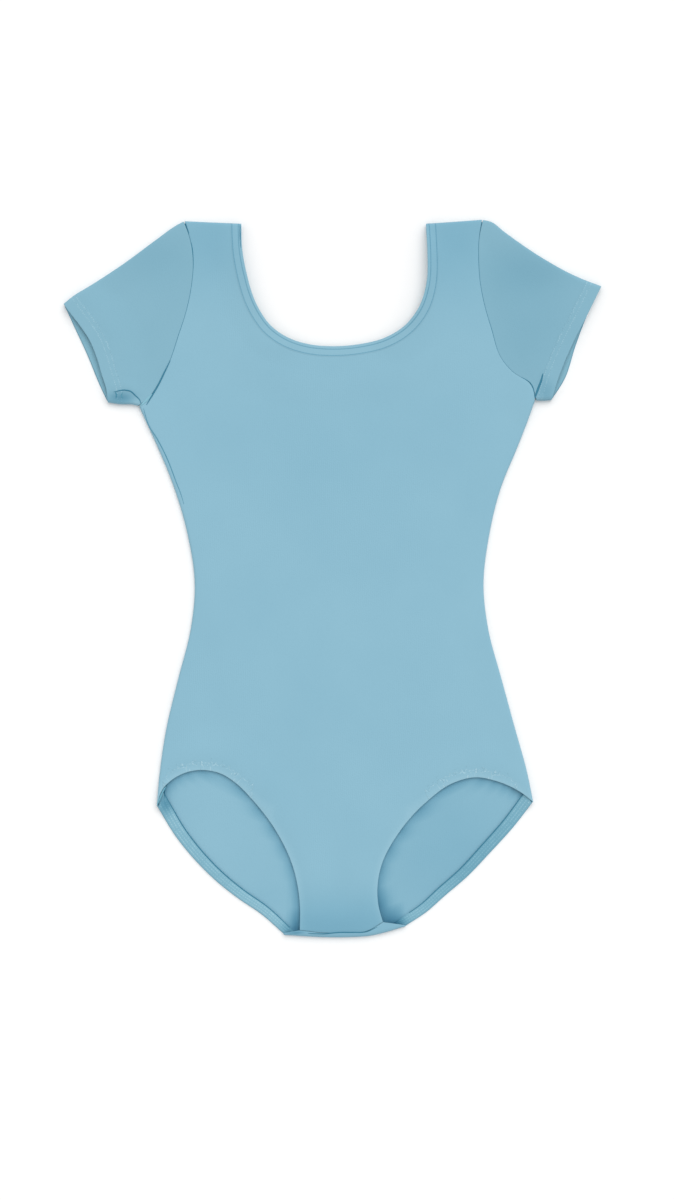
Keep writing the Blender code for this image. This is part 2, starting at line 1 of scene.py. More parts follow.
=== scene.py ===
# %% [markdown]
# # A child's leotard in pale blue jersey, laid flat
#
# The garment lies on its back on a white table and is seen from straight above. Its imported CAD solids
# give every outline. This lesson dresses them: each sewn piece becomes a thin shell of jersey with
# turned edges, seams, stitches and the soft unevenness of cloth that someone has smoothed by hand.

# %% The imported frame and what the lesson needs
from collections import namedtuple

import bmesh
import bpy
import numpy as np
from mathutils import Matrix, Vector, noise
from mathutils.bvhtree import BVHTree


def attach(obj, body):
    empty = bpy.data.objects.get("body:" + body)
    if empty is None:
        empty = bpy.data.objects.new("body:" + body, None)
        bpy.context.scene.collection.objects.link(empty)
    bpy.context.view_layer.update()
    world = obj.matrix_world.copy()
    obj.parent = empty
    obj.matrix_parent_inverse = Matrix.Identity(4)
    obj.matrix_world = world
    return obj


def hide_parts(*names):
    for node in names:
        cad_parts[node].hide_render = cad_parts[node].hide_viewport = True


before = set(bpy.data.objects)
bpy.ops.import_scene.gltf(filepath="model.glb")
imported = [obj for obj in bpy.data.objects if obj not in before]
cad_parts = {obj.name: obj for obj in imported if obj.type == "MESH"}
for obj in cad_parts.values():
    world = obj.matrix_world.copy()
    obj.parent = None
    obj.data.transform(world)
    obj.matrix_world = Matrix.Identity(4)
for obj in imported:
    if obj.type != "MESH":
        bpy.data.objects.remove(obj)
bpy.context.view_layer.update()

MM = 0.001
SIDES = ("left", "right")

# %% [markdown]
# ## Studio
#
# The photograph is a plain product picture: a white floor that is lit until it has no tone of its own, and
# soft light from all round, a little stronger from the neck's side, so each edge has a faint soft shadow
# below it. A long lens straight above keeps the outline true. A bright sky and a sun as wide as a softbox
# do it, and both light the whole floor evenly, which a lamp close by would not.

# %% Helpers for colours and nodes
def linear_colour(code):
    """Return an sRGB hex colour as linear red, green, blue and alpha."""
    levels = [int(code[place : place + 2], 16) / 255.0 for place in (1, 3, 5)]
    return [c / 12.92 if c <= 0.04045 else ((c + 0.055) / 1.055) ** 2.4 for c in levels] + [1.0]


def add_node(tree, kind, inputs=(), **settings):
    """Add a node with its settings; each input is a plain value, a socket, or a node for its first output."""
    node = tree.nodes.new("ShaderNode" + kind)
    for name, value in settings.items():
        setattr(node, name, value)
    for socket, value in inputs.items() if isinstance(inputs, dict) else enumerate(inputs):
        source = value.outputs[0] if isinstance(value, bpy.types.Node) else value
        if isinstance(source, bpy.types.NodeSocket):
            tree.links.new(source, node.inputs[socket])
        else:
            node.inputs[socket].default_value = source
    return node


def blank_material(name):
    """Return a new material, its empty tree's Principled shader and its tree."""
    material = bpy.data.materials.new(name)
    material.use_nodes = True
    return material, material.node_tree.nodes["Principled BSDF"], material.node_tree


print("white as linear levels:", linear_colour("#ffffff"))

# %% Floor, light and camera
VIEW_CENTRE = Vector((3.7, -15.6, 0.0)) * MM      # the photograph's middle, on the floor
VIEW_HEIGHT = 864.0 * MM                          # what its long side covers at the cloth
LENS = 85.0                  # mm, on a sensor as wide as the next value
SENSOR = 36.0
FLOOR_SIZE = 8.0             # m, past all that any view shows
SKY_STRENGTH = 0.77
KEY_STRENGTH = 1.40
KEY_WIDTH = 55.0             # degrees across
KEY_FROM = Vector((0.18, 0.50, 0.85))      # towards the softbox

bm = bmesh.new()
bmesh.ops.create_grid(bm, x_segments=1, y_segments=1, size=0.5 * FLOOR_SIZE)
mesh = bpy.data.meshes.new("floor")
bm.to_mesh(mesh)
bm.free()
floor = bpy.data.objects.new("floor", mesh)
bpy.context.scene.collection.objects.link(floor)
# Matt emulsion paint scatters light evenly, so the floor has no gleam and takes only soft shadows
paint, shader, tree = blank_material("matt_white_table_paint")
shader.inputs["Base Color"].default_value = linear_colour("#f4f4f4")
shader.inputs["Roughness"].default_value = 0.9
mesh.materials.append(paint)

world = bpy.data.worlds.new("soft_white_room")
bpy.context.scene.world = world
world.use_nodes = True
sky = world.node_tree.nodes["Background"]
sky.inputs["Color"].default_value = linear_colour("#ffffff")
sky.inputs["Strength"].default_value = SKY_STRENGTH

softbox = bpy.data.lights.new("softbox", "SUN")
softbox.energy = KEY_STRENGTH
softbox.angle = np.radians(KEY_WIDTH)
softbox_object = bpy.data.objects.new("softbox", softbox)
bpy.context.scene.collection.objects.link(softbox_object)
softbox_object.rotation_euler = (-KEY_FROM).to_track_quat("-Z", "Y").to_euler()

camera_data = bpy.data.cameras.new("camera")
camera_data.lens = LENS
camera_data.sensor_width = SENSOR
camera_data.clip_end = 20.0
camera = bpy.data.objects.new("camera", camera_data)
bpy.context.scene.collection.objects.link(camera)
camera.location = VIEW_CENTRE + Vector((0.0, 0.0, VIEW_HEIGHT * LENS / SENSOR))
bpy.context.scene.camera = camera
bpy.context.scene.view_settings.view_transform = "Standard"
print("camera height in m:", round(camera.location.z, 3))

# %% [markdown]
# ## Outlines
#
# A pattern cutter works from a few measured points along each edge, which a curve joins. These are the
# garment's own edges as it lies, in millimetres from the middle of its box: +y is towards the neck.
# They could be drawn by eye in Blender, but rows in a table are easy to measure and to change, and they
# are the same as the CAD source's, so the cloth fits its solids.

# %% The outlines' rows
Level = namedtuple("Level", "place y left_x right_x")
Pair = namedtuple("Pair", "left_x left_y right_x right_y")

# Body sides, from the hips up
BODY_LEVELS = (
    Level("leg top", -140.0, -124.2, 140.2),
    Level("low hip", -108.0, -119.4, 131.4),
    Level("hip", -72.0, -110.8, 121.6),
    Level("high hip", -36.0, -101.8, 112.0),
    Level("waist", -6.0, -98.9, 108.7),
    Level("midriff", 32.0, -104.2, 113.0),
    Level("ribs", 64.0, -113.4, 120.8),
    Level("chest", 95.0, -125.9, 133.4),
    Level("below the arm", 113.0, -134.2, 140.4),
)
HIP = Pair(-126.3, -163.6, 144.4, -160.8)
UNDERARM = Pair(-138.8, 123.3, 145.6, 127.6)

# Armhole seams, from the shoulder down, without the underarm
ARMHOLE = (
    Pair(-106.1, 256.9, 107.5, 257.9),
    Pair(-101.3, 240.7, 105.3, 245.0),
    Pair(-99.9, 228.3, 105.0, 227.7),
    Pair(-101.2, 210.0, 106.2, 212.0),
    Pair(-104.8, 192.5, 109.4, 196.0),
    Pair(-110.6, 174.5, 114.5, 178.7),
    Pair(-116.5, 156.7, 121.1, 158.5),
    Pair(-124.7, 140.1, 132.0, 146.3),
    Pair(-130.5, 131.0, 142.6, 140.0),
)

# Shoulder, from the armhole to the neck
SHOULDER_END = Pair(-65.5, 254.9, 67.3, 254.8)

# Front neck, from the left shoulder round to the right one; this and all rows below are x and y
FRONT_NECK = (
    (-65.5, 254.9), (-65.1, 238.0), (-62.3, 221.4), (-52.9, 193.5), (-44.2, 181.4), (-31.0, 172.5),
    (-17.3, 168.3), (0.5, 166.8), (21.3, 168.6), (37.4, 172.7), (52.3, 181.6), (62.5, 194.5),
    (67.9, 212.0), (68.4, 235.0), (67.3, 254.8),
)
BACK_NECK_DROP = 14.0      # the back scoop is this much lower at its middle
BACK_NECK_WIDER = 0.5      # and this much wider on each side, which comes in over the first of the depth
BACK_NECK_WIDENS = 0.25

# Leg edges, from the hip to the crotch seam on the front and to the crotch fold on the back
LEG_ROWS = {
    ("front", "left"): (
        (-126.3, -163.6), (-122.0, -151.4), (-114.5, -144.2), (-102.3, -138.7), (-91.0, -137.9),
        (-79.6, -140.6), (-69.6, -147.0), (-58.0, -158.6), (-39.9, -182.6), (-28.3, -207.4),
        (-23.3, -235.4), (-23.4, -252.6),
    ),
    ("front", "right"): (
        (144.4, -160.8), (136.6, -154.5), (118.0, -145.8), (103.0, -143.0), (87.0, -147.0),
        (67.2, -161.1), (47.4, -183.4), (34.9, -207.4), (32.3, -224.0), (33.2, -236.0), (36.3, -246.8),
    ),
    ("back", "left"): (
        (-126.3, -163.6), (-112.6, -185.9), (-97.7, -204.0), (-83.2, -218.2), (-67.6, -230.5),
        (-51.3, -241.5), (-34.2, -256.6),
    ),
    ("back", "right"): (
        (144.4, -160.8), (130.0, -179.3), (113.5, -197.4), (96.9, -214.8), (80.4, -228.9),
        (68.4, -239.6), (52.0, -250.5),
    ),
}

# Crotch: the seam on the front, and the fold where the back wraps round to it
CROTCH_ROWS = {
    "front": ((-23.4, -252.6), (-5.0, -254.6), (10.0, -254.2), (24.6, -253.4), (36.3, -246.8)),
    "back": (
        (-34.2, -256.6), (-5.0, -258.2), (10.0, -258.2), (28.4, -257.0), (40.0, -254.2),
        (52.0, -250.5),
    ),
}

# Sleeves: the fold along the top, the fold under the arm, and the two layers of the cuff
SLEEVE_TOP_ROWS = {
    "left": (
        (-106.1, 256.9), (-109.9, 255.0), (-126.2, 243.6), (-148.2, 227.3), (-174.5, 210.0),
        (-186.4, 202.6), (-192.4, 197.6),
    ),
    "right": (
        (107.5, 257.9), (112.5, 257.0), (122.9, 249.3), (148.4, 231.7), (178.1, 215.7), (192.5, 210.2),
    ),
}
SLEEVE_BOTTOM_ROWS = {
    "left": ((-138.8, 123.3), (-143.5, 124.3), (-151.5, 124.4), (-160.8, 125.7)),
    "right": ((145.6, 127.6), (151.0, 127.4), (156.6, 127.8)),
}
CUFF_ROWS = {
    ("front", "left"): (
        (-192.4, 197.6), (-188.7, 192.3), (-179.9, 180.6), (-173.7, 171.0), (-168.8, 159.0),
        (-165.0, 146.0), (-161.4, 134.0), (-160.8, 125.7),
    ),
    ("front", "right"): ((192.5, 210.2), (182.0, 188.8), (171.4, 167.7), (161.7, 144.3), (156.6, 127.8)),
    ("back", "left"): ((-192.4, 197.6), (-186.0, 183.4), (-175.7, 160.7), (-166.2, 137.2), (-160.8, 125.7)),
    ("back", "right"): ((192.5, 210.2), (182.2, 188.8), (174.0, 166.9), (166.6, 144.0), (156.6, 127.8)),
}
STRAP_FOOT_Y = 178.0       # the front and back neck edges part below here
print("measured points:", sum(len(rows) for rows in (*LEG_ROWS.values(), *CUFF_ROWS.values(), FRONT_NECK)))

# %% [markdown]
# ## Curves through the rows
#
# Blender's own curves would do, but the cloth needs the same points twice, on the front and the back, and
# at even spacing. So a smooth curve is worked out once as plain points, and read where a grid needs them.

# %% Curve helpers
CURVE_SAMPLES = 601        # points on each curve


def smooth_curve(rows):
    """Return even points along a smooth curve through a table's rows."""
    knots = np.array(rows, dtype=float)
    spans = np.linalg.norm(np.diff(knots, axis=0), axis=1)
    stations = np.concatenate(([0.0], np.cumsum(spans)))
    slopes = np.gradient(knots, stations, axis=0)
    place = np.linspace(0.0, stations[-1], 3 * CURVE_SAMPLES)
    cell = np.clip(np.searchsorted(stations, place, side="right") - 1, 0, len(spans) - 1)
    w = ((place - stations[cell]) / spans[cell])[:, None]
    span = spans[cell][:, None]
    curve = (
        (2 * w**3 - 3 * w**2 + 1) * knots[cell]
        + (w**3 - 2 * w**2 + w) * span * slopes[cell]
        + (3 * w**2 - 2 * w**3) * knots[cell + 1]
        + (w**3 - w**2) * span * slopes[cell + 1]
    )
    return points_at(curve, np.linspace(0.0, 1.0, CURVE_SAMPLES))


def arc_lengths(curve):
    """Return the distance along a curve at each of its points."""
    return np.concatenate(([0.0], np.cumsum(np.linalg.norm(np.diff(curve, axis=0), axis=1))))


def points_at(curve, fractions):
    """Return the points at these fractions of a curve's length."""
    along = arc_lengths(curve)
    place = np.asarray(fractions) * along[-1]
    return np.stack([np.interp(place, along, curve[:, axis]) for axis in (0, 1)], axis=-1)


def even_points(curve, cells, start=0.0, end=0.0):
    """Return cells + 1 even points, from start after the curve's first point to end before its last."""
    length = arc_lengths(curve)[-1]
    return points_at(curve, np.linspace(start / length, 1.0 - end / length, cells + 1))


def beside(curve, distance):
    """Return the curve's points moved to its left side by a distance."""
    along = np.gradient(curve, axis=0)
    along /= np.linalg.norm(along, axis=1, keepdims=True)
    return curve + np.stack((-along[:, 1], along[:, 0]), axis=1) * distance


def side_spots(pairs, side):
    """Return one side's points of some pairs."""
    return [pair[:2] if side == "left" else pair[2:] for pair in pairs]


def side_rows(side):
    """Return the rows of one side seam, hip to underarm."""
    hip, underarm = side_spots((HIP, UNDERARM), side)
    return [hip] + [(getattr(level, side + "_x"), level.y) for level in BODY_LEVELS] + [underarm]


def curves_through(table):
    """Return a smooth curve for each entry of a table of rows."""
    return {place: smooth_curve(rows) for place, rows in table.items()}


def back_neck(front_neck):
    """Return the back's neck edge: the front's, lower towards its middle and a little wider."""
    top, bottom = front_neck[:, 1].max(), front_neck[:, 1].min()
    depth = (top - front_neck[:, 1]) / (top - bottom)
    middle = 0.5 * (front_neck[0, 0] + front_neck[-1, 0])
    wider = BACK_NECK_WIDER * np.minimum(depth / BACK_NECK_WIDENS, 1.0) * (1.0 - depth)
    lower = front_neck.copy()
    lower[:, 0] += np.sign(front_neck[:, 0] - middle) * wider
    lower[:, 1] -= BACK_NECK_DROP * depth**2
    return lower

# %% The garment's own curves
side_seam = {side: smooth_curve(side_rows(side)) for side in SIDES}
armhole = {side: smooth_curve(side_spots(ARMHOLE + (UNDERARM,), side)) for side in SIDES}
shoulder = {side: smooth_curve(side_spots((ARMHOLE[0], SHOULDER_END), side)) for side in SIDES}
neck = {"front": smooth_curve(FRONT_NECK)}
neck["back"] = back_neck(neck["front"])
leg, crotch, cuff = (curves_through(table) for table in (LEG_ROWS, CROTCH_ROWS, CUFF_ROWS))
sleeve_top, sleeve_bottom = curves_through(SLEEVE_TOP_ROWS), curves_through(SLEEVE_BOTTOM_ROWS)
print("side seams in mm:", [round(arc_lengths(side_seam[side])[-1], 1) for side in SIDES])

# %% [markdown]
# ## How high the cloth lies
#
# Two layers of jersey lie on each other with air between, a little more where turned edges and hems make
# them thick. On top of that, hand-smoothed cloth keeps a few soft folds: long low rolls down the hips,
# a dip where each sleeve is tucked at the underarm, a lift along hems. Simulated cloth would fall
# quite flat here, so the folds are given as soft ridges and troughs along short lines.

# %% Where the cloth is lifted and folded
PLAIN_HEIGHT = 2.7         # mm from the table to the upper face where nothing lifts it
BLEND_POWER = 4.0          # how far the strongest lift outweighs its neighbours
JERSEY = 0.8               # mm of real cloth; the CAD walls are 1 mm
Lift = namedtuple("Lift", "height core reach")
Fold = namedtuple("Fold", "height width points")     # mm; a trough's height is negative


def strap_part(curve):
    """Return the part of the neck edge that runs down the two straps."""
    return curve[curve[:, 1] > STRAP_FOOT_Y]


# Side seams, neck, straps, leg edges, hips, crotch, folds of the sleeves and cuffs
LIFTS = (
    [(side_seam[side], Lift(1.0, 2.0, 24.0)) for side in SIDES]
    + [(neck["front"], Lift(1.1, 24.0, 26.0)), (strap_part(neck["front"]), Lift(2.4, 9.0, 24.0))]
    + [(leg["front", side], Lift(1.1, 10.0, 26.0)) for side in SIDES]
    + [(side_seam[side][:1], Lift(2.4, 10.0, 22.0)) for side in SIDES]
    + [(crotch["front"], Lift(2.0, 6.0, 22.0))]
    + [(curve[side], Lift(1.0, 2.0, 20.0)) for curve in (sleeve_top, sleeve_bottom) for side in SIDES]
    + [(cuff["front", side], Lift(3.0, 12.0, 26.0)) for side in SIDES]
)

# Soft rolls of the body, and last the ridges of the two straps
BODY_FOLDS = (
    Fold(0.30, 9.0, ((-108, -60), (-106, -100), (-108, -136))),
    Fold(-0.35, 8.0, ((-92, -30), (-90, -80), (-94, -128))),
    Fold(0.35, 12.0, ((-70, -50), (-66, -95), (-72, -130))),
    Fold(-0.25, 10.0, ((-60, 60), (-58, 20), (-66, -20))),
    Fold(0.25, 14.0, ((-84, 70), (-80, 40), (-82, 10))),
    Fold(-0.25, 12.0, ((-20, 40), (-26, 10), (-22, -24))),
    Fold(0.20, 14.0, ((8, 20), (4, -20), (10, -60))),
    Fold(-0.25, 12.0, ((84, 90), (78, 60), (80, 30))),
    Fold(0.25, 12.0, ((104, 30), (100, 0), (104, -40))),
    Fold(-0.30, 9.0, ((118, -60), (122, -100), (126, -132))),
    Fold(0.25, 10.0, ((98, -70), (102, -104), (100, -134))),
    Fold(-0.25, 12.0, ((66, -60), (60, -100), (52, -140))),
    Fold(6.0, 8.0, ((67, 254), (68, 240), (67, 222), (62, 200), (50, 180))),
    Fold(3.0, 8.0, ((-66, 254), (-65, 240), (-62, 222), (-55, 200), (-45, 183))),
)
SLEEVE_FOLDS = (
    Fold(-0.9, 3.2, ((-161, 128.5), (-150, 129), (-141, 127.5))),
    Fold(0.6, 3.0, ((-156, 138), (-145, 137.5), (-137, 131))),
    Fold(-0.8, 3.0, ((152, 147), (150, 141), (145, 130))),
    Fold(0.5, 4.0, ((157, 147), (155, 139), (151, 130))),
)
print("lifts:", len(LIFTS), "folds:", len(BODY_FOLDS) + len(SLEEVE_FOLDS))

# %% Height of the cloth at any point
CURVE_STEP = 6             # distances are measured from every sixth point of a curve
NO_PLACE = 1000.0          # mm, where a grid's empty places count as lying
FOLD_STEP = 12             # and from every twelfth point of a fold's line
HILL_STRETCH = 0.6         # hills are longer along the garment than across it
HILL_SLICE = 7.3           # which slice of the noise they are taken from


def fade(distance, lift):
    """Return 1 within a lift's core, falling smoothly to 0 over its reach."""
    t = np.clip((distance - lift.core) / lift.reach, 0.0, 1.0)
    return 1.0 - t * t * (3.0 - 2.0 * t)


def distance_from(points, curves):
    """Return how far each point of the plan is from the nearest of some curves."""
    plan = np.nan_to_num(points[..., :2], nan=NO_PLACE)
    gap = np.full(plan.shape[:-1], np.inf)
    for curve in curves:
        for x, y in curve[::CURVE_STEP]:
            gap = np.minimum(gap, np.hypot(plan[..., 0] - x, plan[..., 1] - y))
    return gap


def upper_height(points):
    """Return how high the upper layer's face lies over each point of the plan."""
    lifts = [
        (lift.height * fade(distance_from(points, [curve]), lift)) ** BLEND_POWER for curve, lift in LIFTS
    ]
    return PLAIN_HEIGHT + sum(lifts) ** (1.0 / BLEND_POWER)


def fold_height(points, folds):
    """Return what soft folds add: each is a bell across its line that fades out at the line's two ends."""
    flat = points.reshape(-1, 2)
    total = np.zeros(len(flat))
    for fold in folds:
        line = smooth_curve(fold.points)[::FOLD_STEP]
        apart = np.hypot(flat[:, None, 0] - line[None, :, 0], flat[:, None, 1] - line[None, :, 1])
        nearest = apart.argmin(axis=1)
        ends = np.sin(np.pi * np.clip(nearest / (len(line) - 1), 0.02, 0.98)) ** 0.5
        total += fold.height * ends * np.exp(-((apart.min(axis=1) / fold.width) ** 2))
    return total.reshape(points.shape[:-1])


def unevenness(points, size, height):
    """Return low, wide hills that keep smoothed cloth from looking ironed, size and height in mm."""
    flat = points.reshape(-1, 2) / size
    hills = [noise.noise(Vector((x, y * HILL_STRETCH, HILL_SLICE))) for x, y in flat]
    return height * np.array(hills).reshape(points.shape[:-1])


def with_height(points, height):
    """Return plan points with a height added as z."""
    heights = np.broadcast_to(height, points.shape[:-1])
    return np.concatenate((points, heights[..., None]), axis=-1)


chest_and_hip = np.array([[0.0, 60.0], [-124.0, -160.0]])
print("upper layer over the chest and at the left hip, mm:", upper_height(chest_and_hip))

# %% [markdown]
# ## Front and back panels
#
# Each panel is cut from flat cloth, so a grid can follow it: rows from side to side and columns from crotch
# to neck. A patch between the four edges gives a first grid, and evening it out keeps its lines from
# crossing where the edges turn sharply. The grid is then drawn with create_grid, whose vertices move to
# the worked out points, and a wall is given inward. The panels turn up at the sides and shoulders to meet.

# %% A patch between four edges, evened out
RELAX_ROUNDS = 1500
FINE_ROUNDS = 300
RELAX_STEP = 0.7              # how far a point moves to its evened place in one round
COARSE_STEP = 3               # the coarse grid has every third line


def coons(s, t, start, end, first, last):
    """Return the point at s, t of a patch; start and end are its edges along t, first and last along s."""
    s_column, t_column = s[..., None], t[..., None]
    corners = (
        (1 - s_column) * (1 - t_column) * start[0]
        + (1 - s_column) * t_column * start[-1]
        + s_column * (1 - t_column) * end[0]
        + s_column * t_column * end[-1]
    )
    across = (1 - s_column) * points_at(start, t) + s_column * points_at(end, t)
    down = (1 - t_column) * points_at(first, s) + t_column * points_at(last, s)
    return across + down - corners


def evened(grid, rounds):
    """Even a grid out until no two of its lines cross, with its four edges held."""
    for _ in range(rounds):
        along_u = 0.5 * (grid[1:-1, 2:] - grid[1:-1, :-2])
        along_v = 0.5 * (grid[2:, 1:-1] - grid[:-2, 1:-1])
        alpha = (along_v**2).sum(axis=2, keepdims=True)
        gamma = (along_u**2).sum(axis=2, keepdims=True)
        beta = (along_u * along_v).sum(axis=2, keepdims=True)
        twist = 0.25 * (grid[2:, 2:] - grid[2:, :-2] - grid[:-2, 2:] + grid[:-2, :-2])
        sides = alpha * (grid[1:-1, 2:] + grid[1:-1, :-2]) + gamma * (grid[2:, 1:-1] + grid[:-2, 1:-1])
        target = (sides - 2 * beta * twist) / (2 * (alpha + gamma))
        grid[1:-1, 1:-1] += RELAX_STEP * (target - grid[1:-1, 1:-1])
    return grid


def with_edges(grid, bottom, top, left, right):
    """Put four edges round a grid and return it."""
    grid[0], grid[-1], grid[:, 0], grid[:, -1] = bottom, top, left, right
    return grid


def filled(bottom, top, left, right):
    """Fill four edges with a grid. A coarse one is evened out first, which carries far in few rounds."""
    edges = (bottom, top, left, right)
    v, u = np.meshgrid(np.linspace(0, 1, len(left)), np.linspace(0, 1, len(bottom)), indexing="ij")
    coarse = coons(v[::COARSE_STEP, ::COARSE_STEP], u[::COARSE_STEP, ::COARSE_STEP], *edges)
    coarse = evened(with_edges(coarse, *(edge[::COARSE_STEP] for edge in edges)), RELAX_ROUNDS)
    rows, columns = np.arange(len(left)) / COARSE_STEP, np.arange(len(bottom)) / COARSE_STEP
    at_row, at_column = (np.arange(count) for count in coarse.shape[:2])
    grid = np.empty(v.shape + (2,))
    for axis in (0, 1):
        tall = np.array([np.interp(rows, at_row, column) for column in coarse[..., axis].T]).T
        grid[..., axis] = [np.interp(columns, at_column, row) for row in tall]
    return evened(with_edges(grid, *edges), FINE_ROUNDS)


print("rounds on the coarse and the fine grid:", RELAX_ROUNDS, FINE_ROUNDS)

# %% Folds at the side seams, the shoulders and the crotch
CROTCH_CELLS = 24
GUSSET_ROWS = 18
GUSSET_START = 0.55           # how far down its leg edge the front's gusset starts
WRAP_ANGLES = (30.0, 60.0, 90.0, 120.0, 150.0, 180.0)
FOLD_SHARE = 0.6              # a fold takes no more than this of the way to a cut edge
SEAM_GAP = 0.3                # mm between two pieces that are sewn edge to edge


def fold_radius(spot):
    """Return the outer radius of the fold that joins both layers at a point of the outline."""
    return 0.5 * float(upper_height(spot))


def fold_foot(outline, inward, first, last, cut=None):
    """Return where a fold starts on its layer: inward by its radius, but never past a cut edge."""
    radius = 0.5 * upper_height(outline)[:, None]
    if cut is not None:
        apart = np.hypot(outline[:, None, 0] - cut[None, :, 0], outline[:, None, 1] - cut[None, :, 1])
        radius = np.minimum(radius, FOLD_SHARE * apart.min(axis=1)[:, None])
    foot = outline + (beside(outline, inward) - outline) * radius
    foot[0], foot[-1] = first, last
    return foot


def turned_row(outline, foot, angle):
    """Return a fold's points at an angle in degrees from the lower layer; 180 lies on the upper one."""
    radius = 0.5 * upper_height(outline)
    plan = foot + (outline - foot) * np.sin(np.radians(angle))
    return with_height(plan, radius - radius * np.cos(np.radians(angle)))


def front_gusset(crotch_line, across):
    """Return the front's rows from the crotch seam up to the line across the tops of the gusset."""
    s, t = (np.linspace(0, 1, cells + 1) for cells in (GUSSET_ROWS, CROTCH_CELLS))
    starts = [GUSSET_START * arc_lengths(leg["front", side])[-1] for side in SIDES]
    edges = [even_points(leg["front", side], GUSSET_ROWS, start)[::-1] for side, start in zip(SIDES, starts)]
    block = coons(*np.meshgrid(s, t, indexing="ij"), crotch_line, across, *edges)[:-1]
    return with_height(block, upper_height(block))


def crotch_wrap(fold, fold_start):
    """Return the back's rows from the crotch seam on the upper side, round the fold, to the lower side."""
    seam_line = beside(even_points(crotch["front"], CROTCH_CELLS), -SEAM_GAP)
    rows = [turned_row(fold, fold_start, angle) for angle in WRAP_ANGLES]
    return np.array([with_height(seam_line, upper_height(seam_line))] + rows[::-1])


def armhole_points(side, cells):
    """Return the armhole seam's points from the shoulder's fold down to the underarm's."""
    seam = armhole[side]
    return even_points(seam, cells, fold_radius(seam[0]), fold_radius(seam[-1]))


print("radius of the fold at the left hip in mm:", round(fold_radius(side_seam["left"][0]), 2))

# %% Points of a panel
SIDE_CELLS = 54
ARMHOLE_CELLS = 24
SHOULDER_CELLS = 9
NECK_CELLS = 66
LEG_CELLS = 30
HIP_CUT = 0.4                 # mm of the front's leg edge that the corner at the hip takes
FRONT_FOLD = (155.0, 128.0, 100.0)      # degrees round the side fold, from the lower layer
BACK_FOLD = (25.0, 55.0, 84.0)
FOLD_ROWS = len(FRONT_FOLD)


def panel_points(layer):
    """Return the outer points of the front or back panel: rows from the crotch up, columns left to right.

    The flat field is widened by the folds at its side seams and shoulders, and at the crotch by the
    front's gusset or the back's wrap. Places of the array with no cloth hold nan.
    """
    arm, legs, outline, foot, over, over_foot, neck_cut = {}, {}, {}, {}, {}, {}, {}
    for side, inward in (("left", -1.0), ("right", 1.0)):
        hip_cut = HIP_CUT if layer == "front" else fold_radius(side_seam[side][0])
        neck_cut[side] = fold_radius(shoulder[side][-1])
        arm[side] = armhole_points(side, ARMHOLE_CELLS)[::-1]
        if layer == "front":
            end_cut = (1.0 - GUSSET_START) * arc_lengths(leg[layer, side])[-1]
        else:
            end_cut = fold_radius(leg[layer, side][-1])
        legs[side] = even_points(leg[layer, side], LEG_CELLS, hip_cut, end_cut)
        outline[side] = even_points(side_seam[side], SIDE_CELLS)
        foot[side] = fold_foot(outline[side], inward, legs[side][0], arm[side][0], leg[layer, side])
    scoop = even_points(neck[layer], NECK_CELLS, neck_cut["left"], neck_cut["right"])
    for side, inward, neck_end in (("left", -1.0, scoop[0]), ("right", 1.0, scoop[-1])):
        over[side] = even_points(shoulder[side], SHOULDER_CELLS)
        over_foot[side] = fold_foot(over[side], inward, arm[side][-1], neck_end)
    ends = np.array((legs["left"][-1], legs["right"][-1]))
    crotch_line = even_points(crotch[layer], CROTCH_CELLS)
    if layer == "front":
        middle = even_points(ends, CROTCH_CELLS)
        below = front_gusset(crotch_line, middle)
    else:
        middle = fold_foot(crotch_line, 1.0, *ends)
        below = crotch_wrap(crotch_line, middle)

    field = filled(
        np.concatenate((legs["left"], middle[1:-1], legs["right"][::-1])),
        np.concatenate((over_foot["left"], scoop[1:-1], over_foot["right"][::-1])),
        np.concatenate((foot["left"], arm["left"][1:])),
        np.concatenate((foot["right"], arm["right"][1:])),
    )
    rows, columns = field.shape[:2]
    start = len(below)
    points = np.full((start + rows + FOLD_ROWS, columns + 2 * FOLD_ROWS, 3), np.nan)
    points[:start, FOLD_ROWS + LEG_CELLS : FOLD_ROWS + LEG_CELLS + CROTCH_CELLS + 1] = below
    height = upper_height(field) if layer == "front" else 0.0
    points[start : start + rows, FOLD_ROWS : FOLD_ROWS + columns] = with_height(field, height)

    seam = slice(start, start + SIDE_CELLS + 1)
    left_shoulder = slice(FOLD_ROWS, FOLD_ROWS + SHOULDER_CELLS + 1)
    right_shoulder = slice(FOLD_ROWS + columns - SHOULDER_CELLS - 1, FOLD_ROWS + columns)
    for step, angle in enumerate(FRONT_FOLD if layer == "front" else BACK_FOLD):
        points[seam, FOLD_ROWS - 1 - step] = turned_row(outline["left"], foot["left"], angle)
        points[seam, FOLD_ROWS + columns + step] = turned_row(outline["right"], foot["right"], angle)
        row = start + rows + step
        points[row, left_shoulder] = turned_row(over["left"], over_foot["left"], angle)
        points[row, right_shoulder] = turned_row(over["right"], over_foot["right"], angle)[::-1]
    return points


panels = {layer: panel_points(layer) for layer in ("front", "back")}
print("grid of the front:", panels["front"].shape)

# %% [markdown]
# ## Jersey
#
# The real cloth is a fine cotton jersey with elastane, dyed one pale dusty blue and washed: a quite matt
# surface whose loops make faint lines along the wales, with short fibres that catch a little light at a
# flat angle. A jersey has about 14 wales to the centimetre, too fine for this picture, so they are drawn
# every 1.5 mm. Loops could be modelled, but waves in a Bump node give the eye the same at this distance.
# Every piece has a UV map in metres along its own grain, which the pattern follows.

